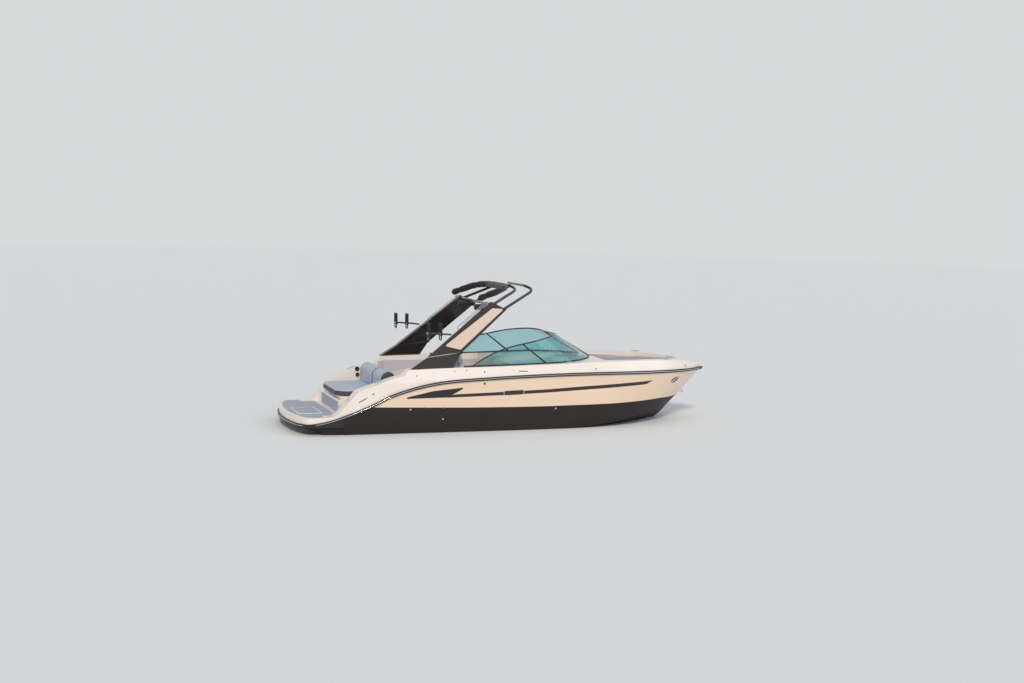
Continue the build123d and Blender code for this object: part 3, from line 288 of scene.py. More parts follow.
PLATE_A, PLATE_B = 0.196, 0.046


def line_height(finish, table):
    """The height of a drawn line at this x: a ramp over the boat's length, straight between."""
    along = (finish.place(0) - X_LOW) / X_SPAN
    stops = [((x - X_LOW) / X_SPAN, z) for x, z in table]
    return finish.add("ShaderNodeValToRGB", {0: along}, stops=stops)


def soft_step(value, width):
    """0 to 1 over a narrow width round zero."""
    return value.finish.add("ShaderNodeMapRange", {0: value, 1: -width, 2: width})


gelcoat = Finish("hull_gelcoat", BEIGE, rough=0.26, coat=0.3, coat_rough=0.06)
height = gelcoat.place(2)
above_line = soft_step(height - line_height(gelcoat, BOTTOM_LINE), 0.002)
under_top = soft_step(line_height(gelcoat, STRIPE_TOP) - height, 0.0015)
over_low = soft_step(height - line_height(gelcoat, STRIPE_LOW), 0.0015)
ends = (gelcoat.place(0) > STRIPE_AFT) * (gelcoat.place(0) < STRIPE_FORE)
striped = under_top * over_low * ends
aged = gelcoat.noise(1.4, 4.0, 0.6, (0.6, 1.0, 2.0))
sides = gelcoat.blend(aged, BEIGE, BEIGE_DEEP)
sides = gelcoat.blend(striped, sides, STRIPE)
from_x = gelcoat.add("ShaderNodeMath", {0: (gelcoat.place(0) - PLATE_X) / PLATE_A},
                     operation="ABSOLUTE")
from_z = gelcoat.add("ShaderNodeMath", {0: (height - PLATE_Z
                                            - (gelcoat.place(0) - PLATE_X) * PLATE_RISE)
                                           / PLATE_B},
                     operation="ABSOLUTE")
powers = [gelcoat.add("ShaderNodeMath", {0: side, 1: power}, operation="POWER")
         for side, power in ((from_x, 14.0), (from_z, 5.0))]
spread = powers[0] + powers[1]
sides = gelcoat.blend(spread < 1.0, sides, "#B9B4AE")
sides = gelcoat.blend(spread < 0.42, sides, "#2E2624")
gelcoat.set("Base Color", gelcoat.blend(above_line, BOOT_BLACK, sides))
gelcoat.set("Coat Weight", above_line * 0.3)
gelcoat.set("Roughness", 0.52 - above_line * 0.26)
gelcoat.bump(gelcoat.noise(3.0, 2.0, 0.4), 0.004, 0.2)


def dress(finish, *names):
    """Gives CAD nodes that stay as they are this finish in all their material slots."""
    for name in names:
        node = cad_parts[name]
        if not node.material_slots:
            node.data.materials.append(finish.material)
        for place in node.material_slots:
            place.material = finish.material


dress(gelcoat, "hull")

# Deck, hatches and inner mouldings: white gelcoat, with a fine non-slip grain where people
# stand and smooth gloss elsewhere. The platform's moulding is black below its rub rail.
def white_gelcoat(name):
    """White gelcoat, a little yellower in places, rougher where it faces up."""
    made = Finish(name, "#F1EAE4", rough=0.24, coat=0.4, coat_rough=0.05)
    facing = made.add("ShaderNodeNewGeometry", out="Normal")
    upward = made.add("ShaderNodeSeparateXYZ", {0: facing}, out=2)
    made.set("Roughness", upward * 0.12 + 0.18)
    made.bump(made.noise(420.0, 1.0, 0.5), 0.0004, 0.25)
    return made, made.blend(made.noise(2.2, 4.0, 0.6), "#F6EFE7", "#EDE2D7")


white, tone = white_gelcoat("deck_gelcoat")
white.set("Base Color", tone)
dress(white, "anchor_lid", "aft_moulding", "engine_hatch", "bow_door")
WELL_AFT, WELL_FORE, WELL_TURN, WELL_MID, COCKPIT_AFT = 1.56, 3.4, 2.6, 2.35, -2.42
deck_with_shade, tone = white_gelcoat("deck_and_coaming")
normal = deck_with_shade.add("ShaderNodeNewGeometry", out="Normal")
nx, ny = [deck_with_shade.add("ShaderNodeSeparateXYZ", {0: normal}, out=k) for k in (0, 1)]
x, y = deck_with_shade.place(0), deck_with_shade.place(1)
# Inboard faces below the cap, from the cockpit's aft end to the well's fore end, are painted grey
# instead of white. Aft this is painted shade on the white coaming; forward it stands for the bow
# padding's light grey, darkened with painted shade.
inboard = (ny * y < -0.12) + (nx * (x - WELL_MID) < -0.10) * (x > WELL_TURN) > 0.5
forward = x > WELL_AFT
below_cap = deck_with_shade.place(2) < forward * (0.140 - x * 0.03) + 1.07
inboard = inboard * below_cap
# coaming: the two greys of that painted shade, lighter aft and darker in the bow well
coaming = deck_with_shade.blend(forward, "#CBC3C8", "#A39BA2")
deck_with_shade.set("Base Color", deck_with_shade.blend(inboard * (x > COCKPIT_AFT) * (x < WELL_FORE), tone, coaming))
dress(deck_with_shade, "deck")
stern, tone = white_gelcoat("platform_gelcoat")
UNDER_RAIL = [(-4.42, 0.170), (-4.20, 0.180), (-4.0, 0.195), (-3.8, 0.225), (-3.55, 0.300)]
STERN_LOW = -4.45
along = (stern.place(0) - STERN_LOW) / 1.0
under = stern.add("ShaderNodeValToRGB", {0: along},
                  stops=[(x - STERN_LOW, z) for x, z in UNDER_RAIL])
stern.set("Base Color", stern.blend(soft_step(stern.place(2) - under, 0.002), BOOT_BLACK, tone))
dress(stern, "swim_platform")
inside = Finish("liner_gelcoat", "#D9D4D1", rough=0.35, coat=0.2)
inside.set("Base Color", inside.blend(inside.noise(3.0, 3.0, 0.6), "#DDD8D5", "#CBC5C3"))
inside.bump(inside.noise(300.0, 1.0, 0.5), 0.0005, 0.4)
dress(inside, "cockpit_liner", "console_starboard", "console_port", "seat_base",
      "bow_seat_base")

# Rub rail: black vinyl extrusion along the sheer and round the platform, with a bright
# insert pressed into its groove
rubber = Finish("rail_vinyl", "#1B1819", rough=0.42)
rubber.bump(rubber.noise(60.0, 3.0, 0.6), 0.0006, 0.4)
dress(rubber, "rub_rail")
steel = Finish("stainless", "#C9CDD1", rough=0.16, metal=1.0)
steel.set("Roughness", steel.noise(9.0, 3.0, 0.6, (1.0, 6.0, 6.0)) * 0.16 + 0.09)
dress(steel, "leg_rods", "cleats", "bow_eye", "thru_hulls", "door_hinge", "helm_pedestal")
SHEER = np.array([[(-4.52, 0.178), (-4.0, 0.205), (-3.55, 0.32)],
                  [(-3.55, 0.32), (-3.12, 0.487), (-2.75, 0.668)],
                  [(-2.75, 0.668), (-2.22, 0.832), (-1.5, 0.942)],
                  [(-1.5, 0.942), (1.1, 1.031), (4.1, 0.958)]])


def sheer_height(x):
    """The sheer's height at x: on each arc, the circle through its three points, solved for z."""
    a, m, b = [SHEER[np.clip(np.searchsorted(SHEER[:, 0, 0], x, "right") - 1, 0, 3)][..., k, :]
               for k in range(3)]
    u, v = m - a, b - a
    cross = 2 * (u[..., 0] * v[..., 1] - u[..., 1] * v[..., 0])
    uu, vv = (u ** 2).sum(-1), (v ** 2).sum(-1)
    cx = (v[..., 1] * uu - u[..., 1] * vv) / cross
    cz = (u[..., 0] * vv - v[..., 0] * uu) / cross
    root = np.sqrt(cx ** 2 + cz ** 2 - (x - a[..., 0] - cx) ** 2)
    return a[..., 1] + cz + np.where(cz > 0, -root, root)


def carried(rings, closed=False):
    """Faces for rows of points, each row a closed ring, carried from one row to the next."""
    rows, across = rings.shape[:2]
    k, j = np.meshgrid(np.arange(rows if closed else rows - 1), np.arange(across), indexing="ij")
    nxt, row = (j + 1) % across, (k + 1) % rows
    faces = np.stack([k * across + j, k * across + nxt, row * across + nxt, row * across + j],
                     -1).reshape(-1, 4).tolist()
    if not closed:
        faces += [list(range(across))[::-1], list(range((rows - 1) * across, rows * across))]
    return rings.reshape(-1, 3), faces


def sweep(spine, section, closed=False, up=(0.0, 0.0, 1.0)):
    """A section carried along a path: at each point its two coordinates run along the path's
    side vector, which is the path's direction crossed with up, and square to both."""
    spine, section = np.asarray(spine, float), np.asarray(section, float)
    run = (np.roll(spine, -1, 0) - np.roll(spine, 1, 0)) if closed else np.gradient(spine, axis=0)
    run /= np.linalg.norm(run, axis=1)[:, None]
    side = np.cross(run, up)
    side /= np.linalg.norm(side, axis=1)[:, None]
    over = np.cross(side, run)
    rings = (spine[:, None] + section[None, :, 0, None] * side[:, None]
             + section[None, :, 1, None] * over[:, None])
    return carried(rings, closed)


def circle(radius, count=12, squash=1.0):
    """A round section, anticlockwise."""
    turn = np.linspace(0, 2 * np.pi, count, endpoint=False)
    return np.column_stack([np.cos(turn) * radius, np.sin(turn) * radius * squash])


def joined(parts):
    """Several (points, faces) put into one."""
    points, faces, base = [], [], 0
    for p, f in parts:
        points.append(np.asarray(p, float))
        faces += [[v + base for v in face] for face in f]
        base += len(p)
    return np.concatenate(points), faces


rail = shell_of("rub_rail")
RAIL_STEP, RAIL_BOW, STERN_TURN = 0.05, 3.86, -3.60
side_x = np.arange(STERN_TURN, RAIL_BOW, RAIL_STEP)
lines = {hand: np.array([p for p in (on_side(rail, x, z, hand, -0.001) for x, z in
                                     zip(side_x, sheer_height(side_x))) if p is not None])
         for hand in (-1, 1)}
around = []
for turn in np.linspace(math.radians(100), math.radians(260), 70):
    out, best = Vector((math.cos(turn), math.sin(turn), 0)), None
    for x in np.arange(-4.46, -3.6, 0.01):
        hit = rail.ray_cast(Vector((-3.62, 0, float(sheer_height(x)))) + out * 3, -out)[0]
        if hit and (best is None or abs(hit.x - x) < best[0]):
            best = (abs(hit.x - x), hit - out * 0.001)
    around.append(best[1])
line = np.concatenate([lines[1][::-1], np.array(around), lines[-1]])
gap = np.linalg.norm(np.diff(line, axis=0), axis=1)
line = line[np.concatenate([[True], gap > 0.012])]
for _ in range(2):
    line[1:-1] = (line[:-2] + 2 * line[1:-1] + line[2:]) / 4
insert = mesh_piece("rail_insert", *sweep(line, circle(0.0045, 8, 1.5)), steel)
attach(insert, "boat")

# Small fittings: black plastic caps over drains, vents and snap studs along the gunwale, slotted
# trim, and two switch plates on the port coaming, each pressed into its hole
def button(spot, facing, radius, height):
    """A low round cap: a short profile turned about the surface's normal, its foot sunk 4 mm."""
    facing = np.array(facing) / np.linalg.norm(facing)
    side = np.cross(facing, [1.0, 0.0, 0.001])
    side /= np.linalg.norm(side)
    over = np.cross(facing, side)
    turn = np.linspace(0, 2 * np.pi, 24, endpoint=False)[:, None]
    flat = side * np.cos(turn) + over * np.sin(turn)
    profile = ((1.0, -0.004), (1.0, 0.5 * height), (0.86, height), (0.5, height),
               (0.4, 0.6 * height))
    return carried(np.stack([np.array(spot) + flat * radius * share + facing * rise
                             for share, rise in profile]))


CAPS = [("deck", -3.037, 0.732, 0.014), ("deck", -2.247, 1.041, 0.010),
        ("deck", -1.541, 1.116, 0.010), ("deck", -1.317, 1.125, 0.010),
        ("deck", -0.977, 1.091, 0.014), ("hull", -0.985, 0.885, 0.020),
        ("deck", 1.192, 1.113, 0.014), ("deck", 3.322, 1.074, 0.018)]
SLOTS = [((-3.29, 0.584), (-3.153, 0.661)), ((-0.322, 1.098), (-0.155, 1.095))]
plastic = Finish("cap_plastic", "#1D191B", rough=0.4)
plastic.bump(plastic.noise(400.0, 1.0, 0.5), 0.0003, 0.3)
shells = {"deck": shell_of("deck"), "hull": bottom}
parts = []
for hand in (-1, 1):
    for name, x, z, radius in CAPS:
        hit, facing = shells[name].ray_cast(Vector((x, hand * 4.0, z)), Vector((0, -hand, 0)))[:2]
        if facing.y * hand < 0:
            facing = -facing
        parts.append(button(hit, facing, radius, 0.005))
    for first, last in SLOTS:
        spine = [on_side(shells["deck"], float(x), float(z), hand, 0.0)
                 for x, z in zip(*[np.linspace(a, b, 7) for a, b in zip(first, last)])]
        parts.append(sweep(spine, circle(0.006, 10, 1.3)))
for x, z, radius in ((-2.82, 0.925, 0.045), (-2.812, 0.812, 0.040)):
    hit, facing = shells["deck"].ray_cast(Vector((x, 0.5, z)), Vector((0, 1, 0)))[:2]
    parts.append(button(hit, (0, -1, 0.1), radius, 0.012))
caps = mesh_piece("gunwale_caps", *joined(parts), plastic)
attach(caps, "boat")

# Platform foam: closed-cell sheet glued down, routed into planks with dark lines, and the
# same sheet on the riser and the lower step
PLANK, LINE_SHARE = 0.062, 0.07


def planked(name):
    """Foam with a dark line routed every 62 mm across the boat."""
    made = Finish(name, "#B4BBC9", rough=0.85)
    part = made.add("ShaderNodeMath", {0: made.place(1) / PLANK}, operation="FRACT")
    dark_line = part < LINE_SHARE
    tone = made.blend(made.noise(180.0, 2.0, 0.7), "#BAC1CF", "#A7AFBE")
    made.bump(made.noise(260.0, 2.0, 0.6) - dark_line * 2.0, 0.0008, 0.3)
    return made, made.blend(dark_line, tone, "#5B616C")


foam, tone = planked("deck_foam")
foam.set("Base Color", tone)
dress(foam, "platform_pad", "step_pads")
lid_foam, tone = planked("lid_foam")
LID_MID, LID_HALF = (-4.035, -0.255), (0.195, 0.355)
inside_lid = None
for k in (0, 1):
    away = lid_foam.add("ShaderNodeMath", {0: lid_foam.place(k) - LID_MID[k]},
                        operation="ABSOLUTE") < LID_HALF[k]
    inside_lid = away if inside_lid is None else inside_lid * away
lid_foam.set("Base Color", lid_foam.blend(inside_lid, "#F1EAE4", tone))
dress(lid_foam, "ladder_lid")

# Tower: welded aluminium, powder-coated gloss black, with beige panels let into the legs
gloss_black = Finish("tower_black", "#221917", rough=0.2, coat=0.7, coat_rough=0.04)
gloss_black.set("Roughness", gloss_black.noise(5.0, 3.0, 0.6) * 0.12 + 0.14)
dress(gloss_black, "tower_foot_starboard", "tower_foot_port", "tower_leg_starboard",
      "tower_leg_port", "tower_hoop", "board_racks", "windshield_frame")
panel = Finish("tower_panel", "#DEC9B8", rough=0.25, coat=0.5)
panel.set("Base Color", panel.blend(panel.noise(3.0, 3.0, 0.6), "#E2CFBF", "#D6BFAB"))
dress(panel, "tower_insert_starboard", "tower_insert_port")
moulded = Finish("moulded_black", "#222224", rough=0.5)
moulded.bump(moulded.noise(500.0, 1.0, 0.5), 0.0004, 0.4)
dress(moulded, "tower_speakers", "side_vents", "steering_wheel")

# Rack pads: foam rubber sleeves pushed over the four prongs of each rack
sleeve = Finish("sleeve_rubber", "#17141A", rough=0.75)
sleeve.bump(sleeve.noise(500.0, 2.0, 0.6), 0.0005, 0.4)
sleeves = []
for x, low_z in ((-1.80, 1.782), (-2.02, 1.794)):
    for y in (1.108, 1.232):
        for hand in (-1, 1):
            spine = np.array([(x, hand * y, low_z + z) for z in np.linspace(-0.03, 0.176, 7)])
            sleeves.append(sweep(spine, circle(0.018, 18), up=(1.0, 0.0, 0.0)))
sleeves = mesh_piece("rack_sleeves", *joined(sleeves), sleeve)
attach(sleeves, "tower")

# Glass: tempered panes with a green-blue tint
glass = Finish("tinted_glass", "#B3DFE3", rough=0.02, transmission_weight=1.0, ior=1.45)
glass.set("Roughness", glass.noise(4.0, 2.0, 0.5) * 0.02 + 0.01)
dress(glass, "glass_side_starboard", "glass_side_port", "glass_front_starboard",
      "glass_front_port", "glass_centre")
lamp_glass = Finish("lamp_glass", "#E9F1F5", rough=0.12, coat=0.8)
lamp_glass.set("Base Color", lamp_glass.blend(lamp_glass.noise(60.0, 2.0, 0.5), "#F2F7FA",
                                              "#AEBBC4"))
dress(lamp_glass, "top_light", "bow_light")

# Windshield trim: a black rubber gasket bedded round the glass's foot, and a moulded cover
# clipped over each corner post
BASE = np.array([(-1.335, -1.126), (0.264, -1.087), (1.130, -0.760), (1.422, -0.270)])
POST = np.array([(0.255, -1.087, 1.222), (-0.192, -1.066, 1.566)])


def arc_through(a, m, b, count):
    """Points on the circle through three points, from the first to the last."""
    u, v = m - a, b - a
    cross = 2 * (u[0] * v[1] - u[1] * v[0])
    centre = a + np.array([v[1] * (u @ u) - u[1] * (v @ v),
                           u[0] * (v @ v) - v[0] * (u @ u)]) / cross
    first, last = [math.atan2(*(p - centre)[::-1]) for p in (a, b)]
    turn = np.linspace(first, last, count)
    return centre + np.column_stack([np.cos(turn), np.sin(turn)]) * np.linalg.norm(a - centre)


plan = np.concatenate([np.linspace(BASE[0], BASE[1], 40)[:-1], arc_through(*BASE[1:], 44)])
foot = []
for x, y in plan:
    hit = shells["deck"].ray_cast(Vector((x, y, 2.0)), Vector((0, 0, -1)))[0]
    foot.append((x, y, hit.z + 0.007))
foot = np.array(foot)
for _ in range(3):
    foot[1:-1, 2] = (foot[:-2, 2] + 2 * foot[1:-1, 2] + foot[2:, 2]) / 4
covers = []
for hand in (1, -1):
    covers.append(sweep(foot * (1, hand, 1), circle(0.019, 12, 0.85)))
    covers.append(sweep(np.linspace(*POST, 9) * (1, hand, 1), circle(0.012, 16, 1.6),
                        up=(0.0, 1.0, 0.0)))
gasket = mesh_piece("windshield_gasket", *joined(covers), rubber)
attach(gasket, "boat")

# Docking lights: a smoked oval lens with a clear slanted strip, flush in the bow's side, and
# a polished ring pressed over its edge
LENS_X, LENS_Z, LENS_A, LENS_B = 3.053, 0.8225, 0.112, 0.052
lens_glass = Finish("docking_lens", "#2A2627", rough=0.08, coat=1.0, coat_rough=0.02)
slant = (lens_glass.place(0) - LENS_X) * 0.42 - (lens_glass.place(2) - LENS_Z)
strip = soft_step(0.009 - lens_glass.add("ShaderNodeMath", {0: slant}, operation="ABSOLUTE"),
                  0.003)
lens_glass.set("Base Color", lens_glass.blend(strip, "#211C1D", "#CDD5DA"))
dress(lens_glass, "docking_lights")
bow_sides = (bottom, shell_of("docking_lights"))
rings = []
for hand in (-1, 1):
    loop = []
    for turn in np.linspace(0, 2 * np.pi, 72, endpoint=False):
        x, z = LENS_X + LENS_A * math.cos(turn), LENS_Z + LENS_B * math.sin(turn)
        z += (x - LENS_X) * 0.18
        hits = [on_side(shell, x, z, hand, 0.001) for shell in bow_sides]
        loop.append(max((h for h in hits if h), key=lambda h: abs(h[1])))
    rings.append(sweep(loop, circle(0.004, 8), closed=True, up=(0.0, 1.0, 0.0)))
lens_rings = mesh_piece("docking_light_rings", *joined(rings), steel)
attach(lens_rings, "boat")

# Helm panel: a dark satin plate screwed to the starboard console behind the wheel, with a
# screen, two round gauges in bright rings, a row of switches and the throttle beside it
DASH, HELM, PANEL_Z = -0.381, -0.575, 0.985


def upright_plate(centre, half_y, half_z, thick, corner=0.03):
    """A rounded plate that faces aft: its outline on rising rings, the last ones drawn in."""
    turn = np.linspace(0, 2 * np.pi, 64, endpoint=False)
    c, s = np.cos(turn), np.sin(turn)
    y = np.sign(c) * np.minimum(abs(c) * 1.45, 1) * (half_y - corner) + c * corner
    z = np.sign(s) * np.minimum(abs(s) * 1.45, 1) * (half_z - corner) + s * corner
    rings = [np.column_stack([np.full(64, centre[0] - rise), centre[1] + y * share,
                              centre[2] + z * share])
             for rise, share in ((-0.004, 1.0), (thick * 0.7, 1.0), (thick, 0.985))]
    return carried(np.stack(rings)[:, ::-1])


panel_black = Finish("helm_panel", "#232124", rough=0.35)
panel_black.bump(panel_black.noise(350.0, 1.0, 0.5), 0.0003, 0.3)
screen = Finish("dark_screen", "#0D1114", rough=0.06, coat=1.0, coat_rough=0.02)
screen.set("Base Color", screen.blend(screen.noise(3.0, 2.0, 0.5), "#0C1013", "#11171B"))
plates = [upright_plate((DASH, HELM, PANEL_Z), 0.235, 0.095, 0.010)]
for k in range(6):
    plates.append(upright_plate((DASH - 0.010, HELM - 0.19 + 0.076 * k, PANEL_Z - 0.072),
                                0.014, 0.009, 0.008, 0.004))
lever = np.array([(DASH - 0.02, -0.895, 0.93), (DASH - 0.055, -0.895, 0.99),
                  (DASH - 0.060, -0.895, 1.06)])
plates += [upright_plate((DASH, -0.895, 0.93), 0.045, 0.065, 0.030),
           sweep(lever, circle(0.008, 12), up=(0.0, 1.0, 0.0)),
           sweep(lever[-1] + np.array([(0, -0.03, 0), (0, 0.0, 0), (0, 0.03, 0)]),
                 circle(0.014, 14))]
helm_panel = mesh_piece("helm_panel", *joined(plates), panel_black)
faces = [upright_plate((DASH - 0.010, HELM, PANEL_Z + 0.018), 0.085, 0.055, 0.004, 0.012)]
rims = []
for side in (-0.155, 0.155):
    spot = (DASH - 0.010, HELM + side, PANEL_Z + 0.018)
    faces.append(button(spot, (-1, 0.001, 0), 0.045, 0.004))
    turn = np.linspace(0, 2 * np.pi, 40, endpoint=False)
    rims.append(sweep(np.column_stack([np.full(40, spot[0] - 0.003),
                                       spot[1] + 0.047 * np.cos(turn),
                                       spot[2] + 0.047 * np.sin(turn)]),
                      circle(0.004, 8), closed=True, up=(1.0, 0.0, 0.0)))
gauges = mesh_piece("helm_gauges", *joined(faces), screen)
bezels = mesh_piece("helm_bezels", *joined(rims), steel)
for piece, slot in ((helm_panel, "plastic_black"), (gauges, "plastic_black"),
                    (bezels, "stainless")):
    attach(piece, "boat")

# Drive: cast aluminium in a grey sea-water paint, and two polished steel propellers
drive_paint = Finish("drive_paint", "#3B3F44", rough=0.36, coat=0.3)
drive_paint.set("Base Color", drive_paint.blend(drive_paint.noise(7.0, 4.0, 0.6), "#40444A",
                                                "#33363B"))
drive_paint.bump(drive_paint.noise(120.0, 2.0, 0.6), 0.0006, 0.4)
dress(drive_paint, "drive_shield", "gimbal_ring", "drive_leg")
dress(steel, "propeller_front", "propeller_rear")
cast = Finish("engine_cast", "#26282B", rough=0.6, metal=0.3)
cast.bump(cast.noise(40.0, 4.0, 0.6), 0.002, 0.5)
dress(cast, "engine")

# Upholstery: marine vinyl over cut foam, light grey tops with charcoal sides, piped seams
vinyl = Finish("vinyl_light", "#B9C2CF", rough=0.46)
vinyl.set("Base Color", vinyl.blend(vinyl.noise(5.0, 3.0, 0.6), "#B6C2D5", "#A4B2C8"))
vinyl.bump(vinyl.noise(700.0, 2.0, 0.6) + vinyl.noise(9.0, 2.0, 0.4) * 3.0, 0.0006, 0.5)
white_vinyl = Finish("vinyl_white", "#E4E3E2", rough=0.46)
white_vinyl.set("Base Color", white_vinyl.blend(white_vinyl.noise(5.0, 3.0, 0.6), "#E8E7E6",
                                                "#D9D6D5"))
white_vinyl.bump(white_vinyl.noise(700.0, 2.0, 0.6), 0.0005, 0.5)
dark_vinyl = Finish("vinyl_dark", "#4A454B", rough=0.52)
dark_vinyl.set("Base Color", dark_vinyl.blend(dark_vinyl.noise(5.0, 3.0, 0.6), "#4E494F",
                                              "#433E45"))
dark_vinyl.bump(dark_vinyl.noise(700.0, 2.0, 0.6), 0.0004, 0.5)


def spaced(low, high, marks, coarse=0.045):
    """Positions from low to high, close together at both ends and at each mark."""
    near = np.array([-0.012, -0.006, -0.002, 0.0, 0.002, 0.006, 0.012])
    at = [np.linspace(low, high, max(4, int((high - low) / coarse)) + 1)]
    at += [low + near[near >= 0], high + near[near <= 0]] + [m + near for m in marks]
    at = np.unique(np.round(np.concatenate(at), 4))
    return at[(at >= low - 1e-6) & (at <= high + 1e-6)]


def rounded(x, y, half, radii, power=2.0):
    """A rectangle's points moved onto one with round corners: in each corner square the offset
    from the arc's centre is scaled by its greater coordinate over its length."""
    r = np.where(x < 0, radii[0], radii[1])
    ex, ey = [np.sign(v) * np.maximum(abs(v) - (h - r), 0) for v, h in zip((x, y), half)]
    length = (abs(ex) ** power + abs(ey) ** power) ** (1 / power)
    scale = np.where(length > 1e-9, np.maximum(abs(ex), abs(ey)) / np.maximum(length, 1e-9), 1)
    return x - ex + ex * scale, y - ey + ey * scale


CROWN, RIM_MOST = 0.010, 1.3


def pad_cover(name, low, high, finish, side_finish, body, nodes, radii=(0.05, 0.05), edge=0.026,
              creases=(), along=1, puff=0.008, power=2.0, turned=None, warp=None):
    """A padded block. Top = high - crown x r / 1.3 - puff x |2t - 1|^3 x (1 - 0.3 r), where
    r = |x / half|^4 + |y / half|^4, at most 1.3, and t runs from 0 to 1 between two sewn creases.
    The outer half of each end panel has no puff. The rim rolls over by nearly a quarter circle,
    the side bulges by 4 mm at half its height, and a piping runs round the seam under the rim."""
    low, high = np.array(low, float), np.array(high, float)
    mid, half = (low + high) / 2, (high - low) / 2
    flat = half[:2] - edge
    inner = [max(r - edge, 0.004) for r in radii]
    marks = [np.array(creases) if along == k else np.zeros(0) for k in (0, 1)]
    gx, gy = [spaced(-flat[k], flat[k], marks[k]) for k in (0, 1)]
    x, y = np.meshgrid(gx, gy, indexing="ij")
    stops = np.concatenate([[-flat[along]], np.sort(creases), [flat[along]]])
    value = (x, y)[along]
    cell = np.clip(np.searchsorted(stops, value, "right") - 1, 0, len(stops) - 2)
    t = (value - stops[cell]) / (stops[cell + 1] - stops[cell])
    fall = np.where(((t < 0.5) & (cell == 0)) | ((t > 0.5) & (cell == len(stops) - 2)), 0,
                    abs(2 * t - 1) ** 3) if len(creases) else 0
    rim = np.minimum(abs(x / flat[0]) ** 4 + abs(y / flat[1]) ** 4, RIM_MOST)
    top = half[2] - CROWN * rim / RIM_MOST - puff * fall * (1 - 0.3 * rim)
    x, y = rounded(x, y, flat, inner, power)
    n, m = x.shape
    ids = np.arange(n * m).reshape(n, m)
    quads = np.stack([ids[:-1, :-1], ids[1:, :-1], ids[1:, 1:], ids[:-1, 1:]], -1).reshape(-1, 4)
    loop = np.concatenate([ids[:, 0], ids[-1, 1:], ids[-2::-1, -1], ids[0, -2:0:-1]])
    base = np.column_stack([x.ravel(), y.ravel(), top.ravel()])
    rim_points = base[loop]
    run = np.roll(rim_points, -1, 0)[:, :2] - np.roll(rim_points, 1, 0)[:, :2]
    out = np.column_stack([run[:, 1], -run[:, 0]]) / np.linalg.norm(run, axis=1)[:, None]
    rows = [(edge * math.sin(a), -edge * (1 - math.cos(a)) * 0.9)
            for a in np.radians((22, 45, 68, 84))]
    depth = (rim_points[:, 2] + half[2])[:, None]
    levels = [base]
    for side, drop in rows:
        levels.append(np.column_stack([rim_points[:, :2] + out * side,
                                       rim_points[:, 2] + drop]))
    start = levels[-1][:, 2]
    for share in (0.06, 0.12, 0.3, 0.5, 0.7, 0.9, 0.97, 1.0):
        bulge = edge - 0.004 + 0.004 * math.sin(math.pi * min(share, 0.97)) - (share == 1.0) * 0.01
        levels.append(np.column_stack([rim_points[:, :2] + out * bulge,
                                       start + (-half[2] - start) * share]))
    points = np.concatenate(levels)
    count, faces, marks = len(loop), quads.tolist(), [0] * len(quads)
    starts = [n * m + count * k for k in range(len(levels) - 1)]
    previous = loop
    for k, first in enumerate(starts):
        ring = np.arange(first, first + count)
        faces += np.stack([np.roll(previous, -1), previous, ring, np.roll(ring, -1)],
                          -1).tolist()
        marks += [0 if k < 5 else 1] * count
        previous = ring
    faces.append(previous.tolist())
    marks.append(1)
    points = points @ (np.eye(3) if turned is None else turned).T + mid
    if warp is not None:
        points[:, 1] = warp(points[:, 0], points[:, 1])
    piece = mesh_piece(name, points, faces, finish)
    piece.data.materials.append(side_finish.material)
    piece.data.polygons.foreach_set("material_index", marks)
    seam = points[starts[4]:starts[4] + count]
    upright = (0.0, 0.0, 1.0) if turned is None else turned[:, 2]
    piping = mesh_piece(name + "_piping", *sweep(seam, circle(0.0045, 8), True, upright),
                        dark_vinyl)
    for one in (piece, piping):
        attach(one, body)
    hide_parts(*nodes)


low, high = [np.array(c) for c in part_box("sunpad")]
pad_cover("sunpad_cover", low, high, vinyl, dark_vinyl, "hatch", ["sunpad"],
          radii=(0.20, 0.06), power=1.35, creases=(-0.47, 0.0, 0.47), puff=0.006)
low, high = [np.array(c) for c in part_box("bench_cushion")]
pad_cover("bench_cover", low, high, vinyl, dark_vinyl, "boat", ["bench_cushion"],
          creases=(-0.58, -0.29, 0.0, 0.29, 0.58))
low, high = [np.array(c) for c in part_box("lounge_cushion")]
pad_cover("lounge_cover", low, high, vinyl, dark_vinyl, "boat", ["lounge_cushion"],
          creases=(-0.52, -0.26, 0.0, 0.26, 0.52), along=0)

